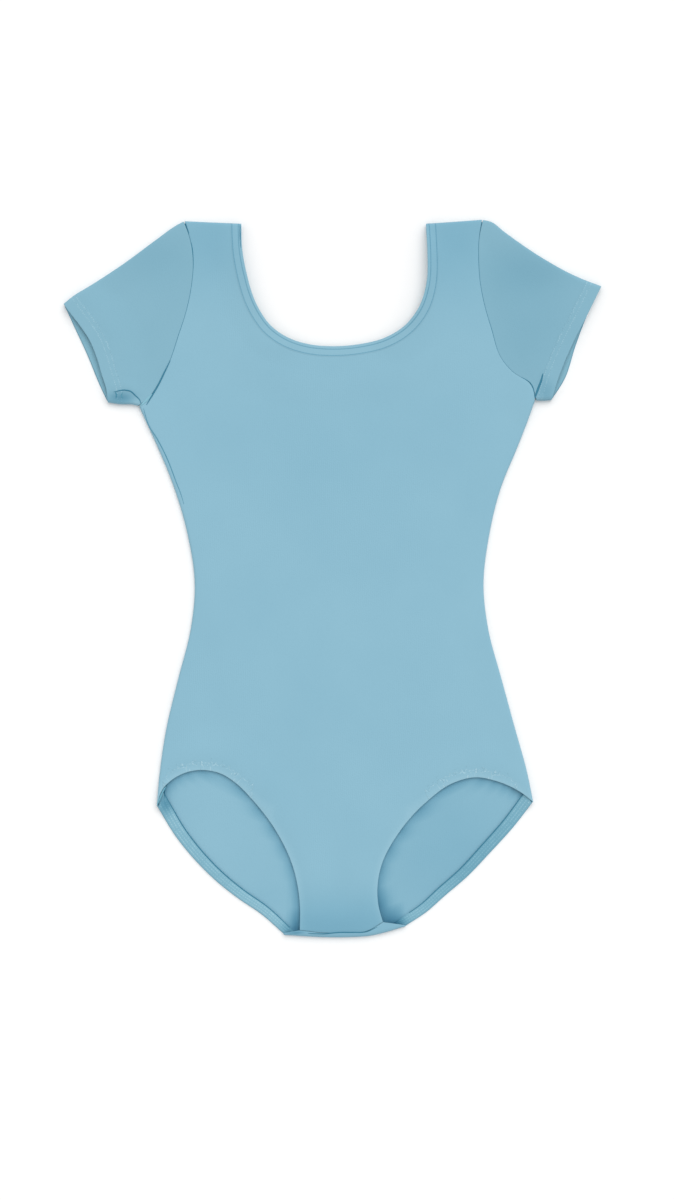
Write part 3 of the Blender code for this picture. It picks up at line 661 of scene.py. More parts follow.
# %% The knit's height
WALE = 1.5 * MM              # coarser than the real 0.7 mm, so that it shows in this picture
COURSE = 1.1 * MM            # coarser than the real 0.5 mm, for the same reason
WALE_WANDER = 4.0 * MM       # wales are never quite straight in washed cloth
WANDER_SCALE = 40.0          # this and all scales below are waves to the metre
FIBRE_SCALE = 900.0          # about 1 mm, as the longest fibres on washed cotton
COURSE_SHARE = 0.35
FIBRE_SHARE = 2.0


def knit_height(tree, grain, wale_depth):
    """Return the knit's height: wales, weaker courses across them, and short fibres."""
    wobble = add_node(tree, "TexNoise", {"Vector": grain, "Scale": WANDER_SCALE, "Detail": 1.0})
    fibre = add_node(tree, "TexNoise", {"Vector": grain, "Scale": FIBRE_SCALE, "Detail": 3.0})
    place = add_node(tree, "SeparateXYZ", [grain]).outputs
    across = add_node(tree, "Math", (wobble, WALE_WANDER, place["X"]), operation="MULTIPLY_ADD")
    turns = [
        add_node(tree, "Math", (way, 2.0 * np.pi / size), operation="MULTIPLY")
        for way, size in ((across, WALE), (place["Y"], COURSE))
    ]
    wales, courses = [add_node(tree, "Math", [turn], operation="SINE") for turn in turns]
    knit = add_node(tree, "Math", (courses, COURSE_SHARE, wales), operation="MULTIPLY_ADD")
    knit = add_node(tree, "Math", (knit, wale_depth), operation="MULTIPLY")
    return add_node(tree, "Math", (fibre, FIBRE_SHARE, knit), operation="MULTIPLY_ADD")


print("wales and courses in mm:", round(WALE / MM, 2), round(COURSE / MM, 2))

# %% Stitches and casing of a turned edge
STITCH_REACH = 0.55 * MM     # from the middle of a stitch row to where its groove ends
STITCH_DASH = (-0.6, 1.0)    # the part of each pitch's wave over which the thread dips out of sight
DASH_SHARE = 0.55
THREAD_UNEVEN = (1.6, -0.45)       # how far a noise thins and thickens the thread
CASING_END = 0.9 * MM        # over which the casing's step falls
DRIFT_SCALE = 420.0
THREAD_SCALE = 260.0
STITCH_RISE, GROOVE_RISE, CASING_RISE = 4.0, -3.0, 4.0
STITCH_TONE = (-0.29, -0.10)       # change of tone: what looseness adds, and that of a neat stitch
# Painted shade in the stitch grooves, most where neat rows lie sunken
GROOVE_PAINTED_SHADE = (-0.40, 0.45)
CASING_TONE = -0.015
Trim = namedtuple("Trim", "rows casing pitch wander")      # mm


def trim_pattern(tree, edge):
    """Return a turned edge's height and its change of tone, from the trim UV map in metres; the tone
    adds painted shade in the stitch grooves.

    The scatter attribute is 0 where stitches lie in neat sunken rows and 1 where they are pale loose dots.
    """
    trim = add_node(tree, "UVMap", uv_map="trim")
    place = add_node(tree, "SeparateXYZ", [trim]).outputs
    scatter = add_node(tree, "Attribute", attribute_name="scatter").outputs["Fac"]
    drift = add_node(tree, "TexNoise", {"Vector": trim, "Scale": DRIFT_SCALE, "Detail": 1.0})
    drift = add_node(tree, "Math", (drift, 0.5), operation="SUBTRACT")
    drift = add_node(tree, "Math", (drift, scatter), operation="MULTIPLY")
    distance = add_node(tree, "Math", (drift, edge.wander * MM, place["Y"]), operation="MULTIPLY_ADD")
    wave = add_node(tree, "Math", (place["X"], 2.0 * np.pi / (edge.pitch * MM)), operation="MULTIPLY")
    wave = add_node(tree, "Math", [wave], operation="SINE")
    falls = [(wave, *STITCH_DASH), (distance, edge.casing * MM, edge.casing * MM + CASING_END)]
    for row in edge.rows:
        apart = add_node(tree, "Math", (distance, row * MM), operation="SUBTRACT")
        falls.append((add_node(tree, "Math", [apart], operation="ABSOLUTE"), 0.0, STITCH_REACH))
    dash, plateau, *grooves = [
        add_node(tree, "MapRange", (*fall, 1.0, 0.0), interpolation_type="SMOOTHSTEP") for fall in falls
    ]
    groove = grooves[0]
    for other in grooves[1:]:
        groove = add_node(tree, "Math", (groove, other), operation="ADD")
    thread = add_node(tree, "TexNoise", {"Vector": trim, "Scale": THREAD_SCALE, "Detail": 1.0})
    thread = add_node(tree, "Math", (thread, *THREAD_UNEVEN), operation="MULTIPLY_ADD")
    thread = add_node(tree, "Math", (dash, DASH_SHARE, thread), operation="MULTIPLY_ADD")
    stitch = add_node(tree, "Math", (groove, thread), operation="MULTIPLY", use_clamp=True)
    height = add_node(tree, "Math", (plateau, CASING_RISE), operation="MULTIPLY")
    height = add_node(tree, "Math", (stitch, STITCH_RISE, height), operation="MULTIPLY_ADD")
    height = add_node(tree, "Math", (groove, GROOVE_RISE, height), operation="MULTIPLY_ADD")
    changes = [
        add_node(tree, "Math", (scatter, *tone), operation="MULTIPLY_ADD")
        for tone in (STITCH_TONE, GROOVE_PAINTED_SHADE)
    ]
    # the pale stitches, and the painted shade in the grooves
    pale, dark = [
        add_node(tree, "Math", pair, operation="MULTIPLY") for pair in zip((stitch, groove), changes)
    ]
    tone = add_node(tree, "Math", (plateau, CASING_TONE, pale), operation="MULTIPLY_ADD")
    return height, add_node(tree, "Math", (dark, tone), operation="ADD")


print("a stitch groove is", round(2.0 * STITCH_REACH / MM, 2), "mm wide")

# %% Four finishes of one jersey
CLOUD_SCALE = 14.0           # wide, faint clouds, as smoothed cloth has
CLOUD_TINT = 1.3
KNIT_TINT = 0.035
TINT_START = 0.2
BUMP_STRENGTH, BUMP_DEPTH = 0.5, 0.12 * MM
# Cotton fibres scatter light, so the surface is matt, with a weak gloss and a thin sheen at flat angles
COTTON = {"Roughness": 0.88, "Specular IOR Level": 0.25, "Sheen Weight": 0.12, "Sheen Roughness": 0.5}


def jersey(name, face, shade, wale_depth, edge=None):
    """Return a jersey finish: face and shade are the two close colours that it drifts between.

    The tone attribute is painted light and shade, a power of the colour: over 1 it is painted darker and
    more saturated, as dyed cloth is where less light gets in, and under 1 painted paler, as a highlight.
    """
    material, shader, tree = blank_material(name)
    grain = add_node(tree, "UVMap", uv_map="grain")
    cloud = {"Vector": grain, "Scale": CLOUD_SCALE, "Detail": 3.0, "Roughness": 0.55}
    cloud = add_node(tree, "TexNoise", cloud)
    height = knit_height(tree, grain, wale_depth)
    tint = add_node(tree, "Math", (height, KNIT_TINT), operation="MULTIPLY")
    tint = add_node(tree, "Math", (cloud, CLOUD_TINT, tint), operation="MULTIPLY_ADD")
    tint = add_node(tree, "Math", (tint, TINT_START), operation="SUBTRACT", use_clamp=True)
    drifting = {0: tint, 6: linear_colour(shade), 7: linear_colour(face)}
    colour = add_node(tree, "Mix", drifting, data_type="RGBA").outputs[2]
    # painted light and shade, from the tone attribute
    level = add_node(tree, "Attribute", attribute_name="tone").outputs["Fac"]
    if edge:
        trim_height, trim_tone = trim_pattern(tree, edge)
        height = add_node(tree, "Math", (height, trim_height), operation="ADD")
        level = add_node(tree, "Math", (level, trim_tone), operation="ADD")
    toned = add_node(tree, "Gamma", (colour, level))
    bump = add_node(tree, "Bump", {"Strength": BUMP_STRENGTH, "Distance": BUMP_DEPTH, "Height": height})
    tree.links.new(toned.outputs[0], shader.inputs["Base Color"])
    tree.links.new(bump.outputs[0], shader.inputs["Normal"])
    for socket, value in COTTON.items():
        shader.inputs[socket].default_value = value
    return material


FINISHES = {
    # washed single jersey: pale, matt and almost plain, with sunken stitch rows along its turned edges
    "body": jersey("washed_cotton_jersey_body", "#88b4c6", "#81aec1", 0.15, Trim((2.2, 6.7), 7.0, 2.0, 12.0)),
    # the same cloth, painted a little darker on the sleeves as shade, with two pale hem rows near the cuff
    "sleeve": jersey(
        "washed_cotton_jersey_sleeve", "#82aec0", "#7ba8ba", 0.1, Trim((7.4, 10.4), 11.0, 2.0, 3.0)
    ),
    # jersey turned in over elastic: three close rows of small stitches make it look ribbed
    "turned": jersey(
        "jersey_turned_over_elastic", "#84b3c4", "#7baabc", 0.3, Trim((1.6, 3.5, 5.4), 7.0, 1.9, 0.0)
    ),
    # painted shade: jersey deep in a seam or a crease, painted dark and more saturated, as little light gets
    # in
    "seam": jersey("jersey_painted_in_seam_shade", "#3d7f99", "#36768f", 0.3),
}
print("finishes:", sorted(FINISHES))

# %% [markdown]
# ## Light and dark in one colour of cloth
#
# One dyed jersey looks darker where it lies in the shade of another layer and where less light reaches it,
# towards the shoulders, the sleeves' tops and the crotch, and paler where a rounded rim catches the light.
# The studio's light shows most of that. What it leaves out, on cloth less than a millimetre thick, could be
# painted by hand; soft bells of tone paint it as shade and highlight, with a few numbers that are easy to
# move.

# %% Painted light and shade of the cloth
Tone = namedtuple("Tone", "change x y reach_x reach_y")

# Painted shade: soft, wide changes of the cloth's tone that darken the front towards its shoulders,
# at the crotch and a little over the chest; over 0 is darker
FRONT_PAINTED_SHADE = (
    Tone(0.14, -90, 246, 34, 34),
    Tone(0.17, 88, 246, 34, 40),
    Tone(0.27, -2, -252, 70, 22),
    Tone(0.03, 0, 90, 60, 40),
)
# Painted shade on the back's inside in the leg openings, under the front's overhang, deepest in both crotch
# corners and at the left hip
BACK_PAINTED_SHADE = (
    Tone(0.14, 85, -195, 50, 50),
    Tone(0.05, -50, -235, 22, 16),
    Tone(2.60, 38.0, -245.2, 8, 7),
    Tone(0.30, 47, -249, 5, 3),
    Tone(1.10, -26, -250, 5, 8),
    Tone(0.12, -122, -155, 6, 9),
)
# Painted shade on the back's lip that wraps round at the crotch, deepest at its left corner
LIP_PAINTED_SHADE = (
    Tone(0.12, 5, -256, 70, 20),
    Tone(0.90, -27.5, -253.6, 4.5, 1.6),
)
# Painted shade on the sleeves, most at their tops, and in the creases under both arms; the one bell under 0
# is a painted highlight at the left underarm
SLEEVE_PAINTED_LIGHT_AND_SHADE = (
    Tone(0.06, -130, 232, 30, 18),
    Tone(0.10, 140, 222, 34, 18),
    Tone(0.06, 142, 180, 40, 40),
    Tone(0.45, -152, 129.5, 8, 3.6),
    Tone(-0.10, -141, 127, 3, 3),
    Tone(0.16, 153, 134, 5, 8),
)
# Painted shade on an inside, right under the front's leg edges and under the front cuffs
EDGE_SHADE = 0.40          # how much darker an inside is right under the edge that it comes out from
EDGE_SHADE_REACH = 4.4     # mm
INSIDE_BELOW = 1.6         # mm, the lower layer's height


def painted_shading_at(points, tones):
    """Return the cloth's painted light and shade at each point: 1, changed by soft bells over the plan."""
    level = np.ones(points.shape[:-1])
    for tone in tones:
        x = (points[..., 0] - tone.x) / tone.reach_x
        y = (points[..., 1] - tone.y) / tone.reach_y
        level += tone.change * np.exp(-(x**2) - y**2)
    return level


def nearness(points, curves, reach):
    """Return 1 on the curves, falling smoothly to 0 away from them, at each point."""
    return np.exp(-((distance_from(points, curves) / reach) ** 2))


def shade_beside(points, curves):
    """Return the painted shade of an inside where it comes out from under an edge, at each point."""
    return EDGE_SHADE * nearness(points, curves, EDGE_SHADE_REACH)


print("tone changes on the front and the back:", len(FRONT_PAINTED_SHADE), len(BACK_PAINTED_SHADE))

# %% [markdown]
# ## From points to a sewn piece
#
# A cut of jersey is a flat sheet with a grain. create_grid draws it, each vertex goes to its worked out
# point, and two UV maps carry the grain and the distance from the turned edge. The thickness could be
# modelled too, but a Solidify modifier keeps it even, and a small Bevel rounds the cut edges.

# %% Making a piece from its points
SLOTS = {finish: finish + "_jersey" for finish in ("body", "sleeve")}
SLOTS["turned"] = SLOTS["seam"] = "turned_edge_jersey"
FAR_FROM_TRIM = 60.0       # mm, beyond any casing
RIM_ROUND = 0.3            # mm
RIM_ANGLE = 50.0           # degrees; sharper corners than this are rounded


def cloth_mesh(name, points, grain, face_up=True, ring=False, trim=None, tone=None):
    """Return the mesh of a grid over outer points in mm; its grain and trim are UV maps in metres."""
    rows, columns = points.shape[:2]
    bm = bmesh.new()
    bmesh.ops.create_grid(bm, x_segments=columns - 1, y_segments=rows - 1, size=1.0)
    bm.verts.ensure_lookup_table()
    if trim is None:
        trim = np.broadcast_to((FAR_FROM_TRIM, FAR_FROM_TRIM, 0.0), points.shape[:2] + (3,))
    for map_name, values in (("grain", grain), ("trim", trim[..., :2])):
        uv = bm.loops.layers.uv.new(map_name)
        flat_values = values.reshape(-1, 2)
        for face in bm.faces:
            for loop in face.loops:
                loop[uv].uv = flat_values[loop.vert.index] * MM
    # the tone attribute carries the piece's painted light and shade
    level = bm.verts.layers.float.new("tone")
    scatter = bm.verts.layers.float.new("scatter")
    if tone is None:
        tone = np.ones(points.shape[:2])
    values = zip(bm.verts, points.reshape(-1, 3), tone.reshape(-1), trim[..., 2].reshape(-1))
    for vert, point, vert_tone, vert_scatter in values:
        vert.co = Vector(point) * MM
        vert[level] = vert_tone
        vert[scatter] = vert_scatter
    bare = [vert for vert in bm.verts if vert.co.x != vert.co.x]
    bmesh.ops.delete(bm, geom=bare, context="VERTS")
    bm.normal_update()
    if ring:
        bmesh.ops.remove_doubles(bm, verts=bm.verts, dist=0.01 * MM)
        bmesh.ops.recalc_face_normals(bm, faces=bm.faces)
    elif (sum(face.normal.z for face in bm.faces) > 0.0) != face_up:
        bmesh.ops.reverse_faces(bm, faces=bm.faces)
    mesh = bpy.data.meshes.new(name)
    bm.to_mesh(mesh)
    bm.free()
    mesh.shade_smooth()
    return mesh


def add_piece(name, mesh, finish, node=None):
    """Add a piece of the garment: it rides on the root, has a finish and stands for a CAD node."""
    mesh.materials.append(FINISHES[finish])
    piece = bpy.data.objects.new(name, mesh)
    bpy.context.scene.collection.objects.link(piece)
    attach(piece, "root")
    if node:
        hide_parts(node)
    return piece


def give_wall(piece, thickness, smooth=0):
    """Give a shell its wall inward from the outer face, refine it first, and round its rims."""
    if smooth:
        surface = piece.modifiers.new("smooth", "SUBSURF")
        surface.levels = surface.render_levels = smooth
        surface.boundary_smooth = "PRESERVE_CORNERS"
    wall = piece.modifiers.new("wall", "SOLIDIFY")
    wall.thickness = thickness * MM
    wall.offset = -1.0
    wall.use_even_offset = True
    rim = piece.modifiers.new("rim", "BEVEL")
    rim.width = RIM_ROUND * MM
    rim.segments = 2
    rim.profile = 0.5
    rim.limit_method = "ANGLE"
    rim.angle_limit = np.radians(RIM_ANGLE)
    return piece


print("slots:", SLOTS)

# %% [markdown]
# ## Cloth of the two panels
#
# Elastic draws the front down along its leg edges, and hand-smoothed cloth rolls softly over the hips. A
# sculpting brush could shape that; here the same folds as above are added to the front's heights, so the
# seams stay where both panels meet. The back lies flat on the table and shows its inside at the openings.

# %% The two panels
NECK_CASING = ((0.0, 6.8), (1.0, 6.8))      # place along the edge, width in mm
# A width below zero leaves the rows out, near the hip and down to the crotch
LEG_CASING = ((0.0, -6.0), (0.07, -6.0), (0.09, 4.8), (0.25, 5.2), (0.45, 6.4), (0.47, -6.0), (1.0, -6.0))
DRAWN_CASING = 6.8         # mm in from the edge, where the pattern draws a casing's inner row at any width
LEG_ROW_ONLY = 4.4         # mm; a leg's pattern starts here, because only the casing's inner row shows
EDGE_DIP = 0.9             # mm that the front sinks along its leg edges, where elastic draws it down
DIP_REACH = 6.0            # mm
DIP_STOPS = 4.5            # mm from the side and crotch seams
# Painted highlight: the front's turned leg edge is painted paler right at its rim, where the rounded edge
# catches the light
RIM_PAINTED_HIGHLIGHT = 0.10           # how much paler the turned leg edge is right at its rim
RIM_HIGHLIGHT_REACH = 2.5           # mm
HILL_SIZE, HILL_HEIGHT = 55.0, 0.35      # mm
TRIM_STEP = 3              # stitches are placed from every third point of an edge


def trim_of(points, edges):
    """Return each point's place along the nearest turned edge, how far in it is and its looseness."""
    flat = np.nan_to_num(points[..., :2].reshape(-1, 2), nan=NO_PLACE)
    best = np.full(len(flat), np.inf)
    along = np.zeros(len(flat))
    scatter = np.zeros(len(flat))
    for edge, casing, least, looseness in edges:
        places = arc_lengths(edge)[::TRIM_STEP]
        spots = edge[None, ::TRIM_STEP]
        apart = np.hypot(flat[:, None, 0] - spots[..., 0], flat[:, None, 1] - spots[..., 1])
        nearest = apart.argmin(axis=1)
        share = places[nearest] / places[-1]
        moved = np.maximum(apart.min(axis=1) + DRAWN_CASING - np.interp(share, *zip(*casing)), least)
        along = np.where(moved < best, places[nearest], along)
        scatter = np.where(moved < best, looseness, scatter)
        best = np.minimum(best, moved)
    best = np.minimum(best, FAR_FROM_TRIM)
    return np.stack((along, best, scatter), axis=-1).reshape(points.shape[:2] + (3,))


front_plan = panels["front"][..., :2]
uneven = np.zeros(front_plan.shape[:2])
there = ~np.isnan(front_plan[..., 0])
uneven[there] = fold_height(front_plan[there], BODY_FOLDS)
uneven[there] += unevenness(front_plan[there], HILL_SIZE, HILL_HEIGHT)
front_legs = [leg["front", side] for side in SIDES]
seams = [side_seam[side] for side in SIDES] + [crotch["front"]]
dip = nearness(front_plan, front_legs, DIP_REACH) * (1.0 - nearness(front_plan, seams, DIP_STOPS))
panels["front"][..., 2] += uneven - EDGE_DIP * dip
pieces = {}
# Painted shade on the back's inside, by its bells and right under the front's leg edges, and on its lip by
# the lip's bells; on the front, painted shade by its bells and the painted highlight at its leg rims
inside = painted_shading_at(panels["back"], BACK_PAINTED_SHADE) + shade_beside(panels["back"], front_legs)
tones = {
    "front": painted_shading_at(panels["front"], FRONT_PAINTED_SHADE) - RIM_PAINTED_HIGHLIGHT * nearness(front_plan, front_legs, RIM_HIGHLIGHT_REACH),
    "back": np.where(panels["back"][..., 2] < INSIDE_BELOW, inside, painted_shading_at(panels["back"], LIP_PAINTED_SHADE)),
}
for layer in ("front", "back"):
    edges = [(neck[layer], NECK_CASING, 0.0, 0.0)]
    edges += [(leg[layer, side], LEG_CASING, LEG_ROW_ONLY, 1.0) for side in SIDES]
    grain, trim = panels[layer][..., :2], trim_of(panels[layer], edges)
    mesh = cloth_mesh(layer, panels[layer], grain, face_up=layer == "front", trim=trim, tone=tones[layer])
    pieces[layer] = give_wall(add_piece(layer + "_panel", mesh, "body", layer), JERSEY, smooth=1)
    print(pieces[layer].name, len(mesh.polygons), "faces")

# %% [markdown]
# ## Sleeves
#
# A short sleeve is one piece, folded along its top edge and closed by a seam under the arm. Closed rings
# from the armhole to the cuff make it: each goes along the upper layer, round the fold, and back along the
# lower layer. A round tube could be pressed flat, but rings keep both layers on their own outlines: the
# lower layer's cuff lies further out than the upper one's, so its inside shows.

# %% Closed rings of a sleeve
SLEEVE_CELLS = 40
SLEEVE_ROWS = 36
RING_SAMPLES = 121         # points on a layer's path before they are evened
SLEEVE_END_GAP = 0.9       # mm between sleeve and body at the two folds, more than along the seam
SLEEVE_GAP_POWER = 12      # how late along the seam the gap widens
TOP_FOLD_ANGLES = (155.0, 130.0, 110.0, 90.0, 70.0, 50.0, 25.0)


def sleeve_edge(side):
    """Return the sleeve's edge along the armhole: a seam's gap from it, and wider at its two folded ends."""
    seam = armhole[side]
    ends = np.abs(np.linspace(-1.0, 1.0, len(seam)))[:, None] ** SLEEVE_GAP_POWER
    gap = SEAM_GAP + (SLEEVE_END_GAP - SEAM_GAP) * ends
    outward = -1.0 if side == "left" else 1.0
    return seam + (beside(seam, outward) - seam) * gap


def sleeve_layer(side, layer, s, depth):
    """Return one layer's points of a sleeve, from the top fold to the underarm fold, at places s along it."""
    edge = sleeve_edge(side)
    top = sleeve_top[side] + (edge[0] - armhole[side][0])
    bottom = sleeve_bottom[side] + (edge[-1] - armhole[side][-1])
    t = np.linspace(0.0, 1.0, len(s))
    path = coons(s, t, edge, cuff[layer, side], top, bottom)
    start_cut, end_cut = (0.5 * upper_height(path[[end]])[0] for end in (0, -1))
    inner = even_points(path, SLEEVE_CELLS, start_cut, end_cut)
    height = upper_height(inner) - depth if layer == "front" else depth
    return path[[0, -1]], with_height(inner, height)


def fold_between(outline, upper, lower, depth):
    """Return the points that turn a sleeve from its upper layer to its lower one."""
    radius = fold_radius(outline)
    points = []
    for angle in TOP_FOLD_ANGLES:
        share = 0.5 - 0.5 * np.cos(np.radians(angle))
        foot = share * upper[:2] + (1.0 - share) * lower[:2]
        plan = foot + (outline - foot) * np.sin(np.radians(angle)) * (radius - depth) / radius
        points.append(np.append(plan, radius - (radius - depth) * np.cos(np.radians(angle))))
    return points


def sleeve_ring(side, place, depth=0.0):
    """Return one closed ring of a sleeve, at a depth in from its outer face; place(down) is how far along."""
    down = np.linspace(0.0, 1.0, RING_SAMPLES)
    ends, upper = sleeve_layer(side, "front", place(down), depth)
    back_ends, lower = sleeve_layer(side, "back", place(down), depth)
    top_end, bottom_end = 0.5 * (ends + back_ends)
    ring = list(upper)
    ring += fold_between(bottom_end, upper[-1], lower[-1], depth)
    ring += list(lower[::-1])
    ring += fold_between(top_end, upper[0], lower[0], depth)[::-1]
    return np.array(ring + [ring[0]])


print("points round a sleeve:", 2 * (SLEEVE_CELLS + 1 + len(TOP_FOLD_ANGLES)))

# %% Sleeves and hems
HEM_ROWS = np.linspace(11.0, 0.5, 8)      # mm from the cuff
HEM_UNDER = JERSEY + 0.1   # mm from the sleeve's outer face to the hem's
HEM_MOST = 0.45            # the most of the sleeve's length that a hem takes, where the sleeve is short
CUFF_SCATTER = 0.84        # how loose the hem's stitches look
FAR_DOWN = -1000.0         # where a tree's empty places lie, out of reach


def hem_place(side, distance):
    """Return a function that gives the place at a distance from the cuff, at each way down the sleeve."""
    length_top = arc_lengths(sleeve_top[side])[-1]
    length_bottom = arc_lengths(sleeve_bottom[side])[-1]

    def place(down):
        length = (1.0 - down) * length_top + down * length_bottom
        return 1.0 - np.minimum(distance / length, HEM_MOST)

    return place


def ring_grain(rings):
    """Return UV points for rings: along the sleeve and round it, both as lengths in mm."""
    along = np.linalg.norm(np.diff(rings, axis=0), axis=2).mean(axis=1)
    round_it = np.linalg.norm(np.diff(rings, axis=1), axis=2).mean(axis=0)
    s, t = (np.concatenate(([0.0], np.cumsum(steps))) for steps in (along, round_it))
    return np.stack(np.meshgrid(t, s), axis=-1)


def cuff_trim(rings):
    """Return how far round the sleeve each point is and how far it is from the cuff, in mm."""
    steps = np.linalg.norm(np.diff(rings, axis=0), axis=2)
    in_from_cuff = np.concatenate((np.cumsum(steps[::-1], axis=0)[::-1], np.zeros((1, rings.shape[1]))))
    loose = np.full(in_from_cuff.shape, CUFF_SCATTER)
    return np.stack((ring_grain(rings)[..., 0], in_from_cuff, loose), axis=-1)


def surface_of(points):
    """Return a tree that finds heights on a piece's outer points."""
    triangles = []
    rows, columns = points.shape[:2]
    corners = [tuple(np.nan_to_num(point, nan=FAR_DOWN)) for point in points.reshape(-1, 3)]
    there = ~np.isnan(points[..., 0])
    for row in range(rows - 1):
        for column in range(columns - 1):
            if there[row : row + 2, column : column + 2].all():
                a = row * columns + column
                triangles += [(a, a + 1, a + columns + 1), (a, a + columns + 1, a + columns)]
    return BVHTree.FromPolygons(corners, triangles)


sleeve_surface = {}
for side in SIDES:
    rings = np.array([
        sleeve_ring(side, lambda down, part=part: np.full(len(down), part))
        for part in np.linspace(0.0, 1.0, SLEEVE_ROWS + 1)
    ])
    upper = rings[..., 2] > INSIDE_BELOW
    rings[..., 2] += np.where(upper, fold_height(rings[..., :2], SLEEVE_FOLDS), 0.0)
    # Painted shade on the sleeve by its bells, and on its lower layer's inside right under the front cuff
    tone = painted_shading_at(rings, SLEEVE_PAINTED_LIGHT_AND_SHADE) + np.where(upper, 0.0, shade_beside(rings, [cuff["front", side]]))
    name, hem_name = "sleeve_" + side, "cuff_hem_" + side
    mesh = cloth_mesh(name, rings, ring_grain(rings), ring=True, trim=cuff_trim(rings), tone=tone)
    pieces[name] = give_wall(add_piece(name + "_cloth", mesh, "sleeve", name), JERSEY, smooth=1)
    sleeve_surface[side] = surface_of(rings)
    hem = np.array([sleeve_ring(side, hem_place(side, distance), HEM_UNDER) for distance in HEM_ROWS])
    mesh = cloth_mesh(hem_name, hem, ring_grain(hem), ring=True)
    pieces[hem_name] = give_wall(add_piece(hem_name + "_cloth", mesh, "turned", hem_name), JERSEY)
    print("sleeve", side, rings.shape)

# %% [markdown]
# ## Turned edges
#
# Neck and legs are finished the same way: elastic is laid on the inside, the edge is turned over it, and
# coverstitch holds it. Seen from outside it is a flat casing, with two rows of stitches at the neck and
# one along each leg; seen from inside, on the back of each leg, it is a strip that lies on the cloth. A
# band could be cut from the panel itself, but a strip beside the outline follows each curve at one width.

# %% A strip beside an outline
NECK_BAND_WIDTH = 7.0
LEG_BAND_WIDTH = 9.0
LEG_BAND_CROTCH_WIDTH = 6.5
BAND_EDGE_INSET = 0.5
BAND_END_INSET = 1.0
BAND_GAP = 0.1             # mm between a strip and the cloth that it lies against
BAND_CROWN = 0.35          # mm that elastic rounds a strip up in its middle
BAND_OPENS = 4             # the strip's last cells, whose direction it keeps when it runs on
RUN_ON = 7.0               # mm that a back leg's strip goes on under its neighbours at each end
RUN_ON_CELLS = 6
RUN_ON_INSET = 1.6
HIP_RISE = 2.1             # mm that a strip rises to the hip, where both layers are sewn together
HIP_RISE_REACH = 6.5
BAND_CELLS = 90
BAND_ROWS = 6


def run_on(plan, before, after):
    """Lengthen a strip's plan at both ends: its inner line straight on, its outer one along an outline."""
    parts = np.linspace(0.0, 1.0, len(plan))[:, None, None]
    for outline, at_start in ((before, True), (after, False)):
        if not at_start:
            plan = plan[:, ::-1]
        tangent = plan[-1, 0] - plan[-1, BAND_OPENS]
        tangent /= np.linalg.norm(tangent)
        reach = np.linspace(1.0, 0.0, RUN_ON_CELLS + 1)[:-1, None]
        inner = plan[-1, 0] + tangent * RUN_ON * reach
        length = arc_lengths(outline)[-1]
        outer = points_at(outline, RUN_ON * reach[:, 0] / length)
        plan = np.concatenate((outer * (1.0 - parts) + inner * parts, plan), axis=1)
        if not at_start:
            plan = plan[:, ::-1]
    return plan


def band_points(edge, inward, widths, surface, start_inset, taper, neighbours=None):
    """Return the outer points of a turned strip, which lies against the inside of its panel."""
    outer = even_points(beside(edge, inward * BAND_EDGE_INSET), BAND_CELLS, start_inset, BAND_END_INSET)
    from_corner = start_inset + arc_lengths(outer)[:, None]
    width = np.minimum(np.linspace(widths[0], widths[1], BAND_CELLS + 1)[:, None], taper * from_corner)
    step = (beside(outer, inward) - outer) * (width - BAND_EDGE_INSET)
    plan = np.stack([outer + step * part for part in np.linspace(0.0, 1.0, BAND_ROWS + 1)])
    if neighbours:
        plan = run_on(plan, *neighbours)
    crown = BAND_CROWN * np.sin(np.pi * np.linspace(0.06, 0.94, BAND_ROWS + 1))[:, None]
    if surface is None:
        rise = HIP_RISE * nearness(plan, [side_seam[side][:1] for side in SIDES], HIP_RISE_REACH)
        return with_height(plan, 2.0 * JERSEY + BAND_GAP + crown + rise)
    height = np.zeros(plan.shape[:2])
    for place in np.ndindex(height.shape):
        nearest = surface.find_nearest(Vector((*plan[place], PLAIN_HEIGHT)))[0]
        height[place] = nearest.z - JERSEY - BAND_GAP
    return with_height(plan, height)


def band_grain(points):
    """Return UV points of a strip: along it and across it, in mm, with the ribs running across."""
    along = arc_lengths(points[0])
    across = np.linalg.norm(points[-1] - points[0], axis=1).mean() * np.linspace(0.0, 1.0, len(points))
    return np.stack(np.meshgrid(along, across), axis=-1)


print("cells along a strip:", BAND_CELLS, "and across it:", BAND_ROWS)

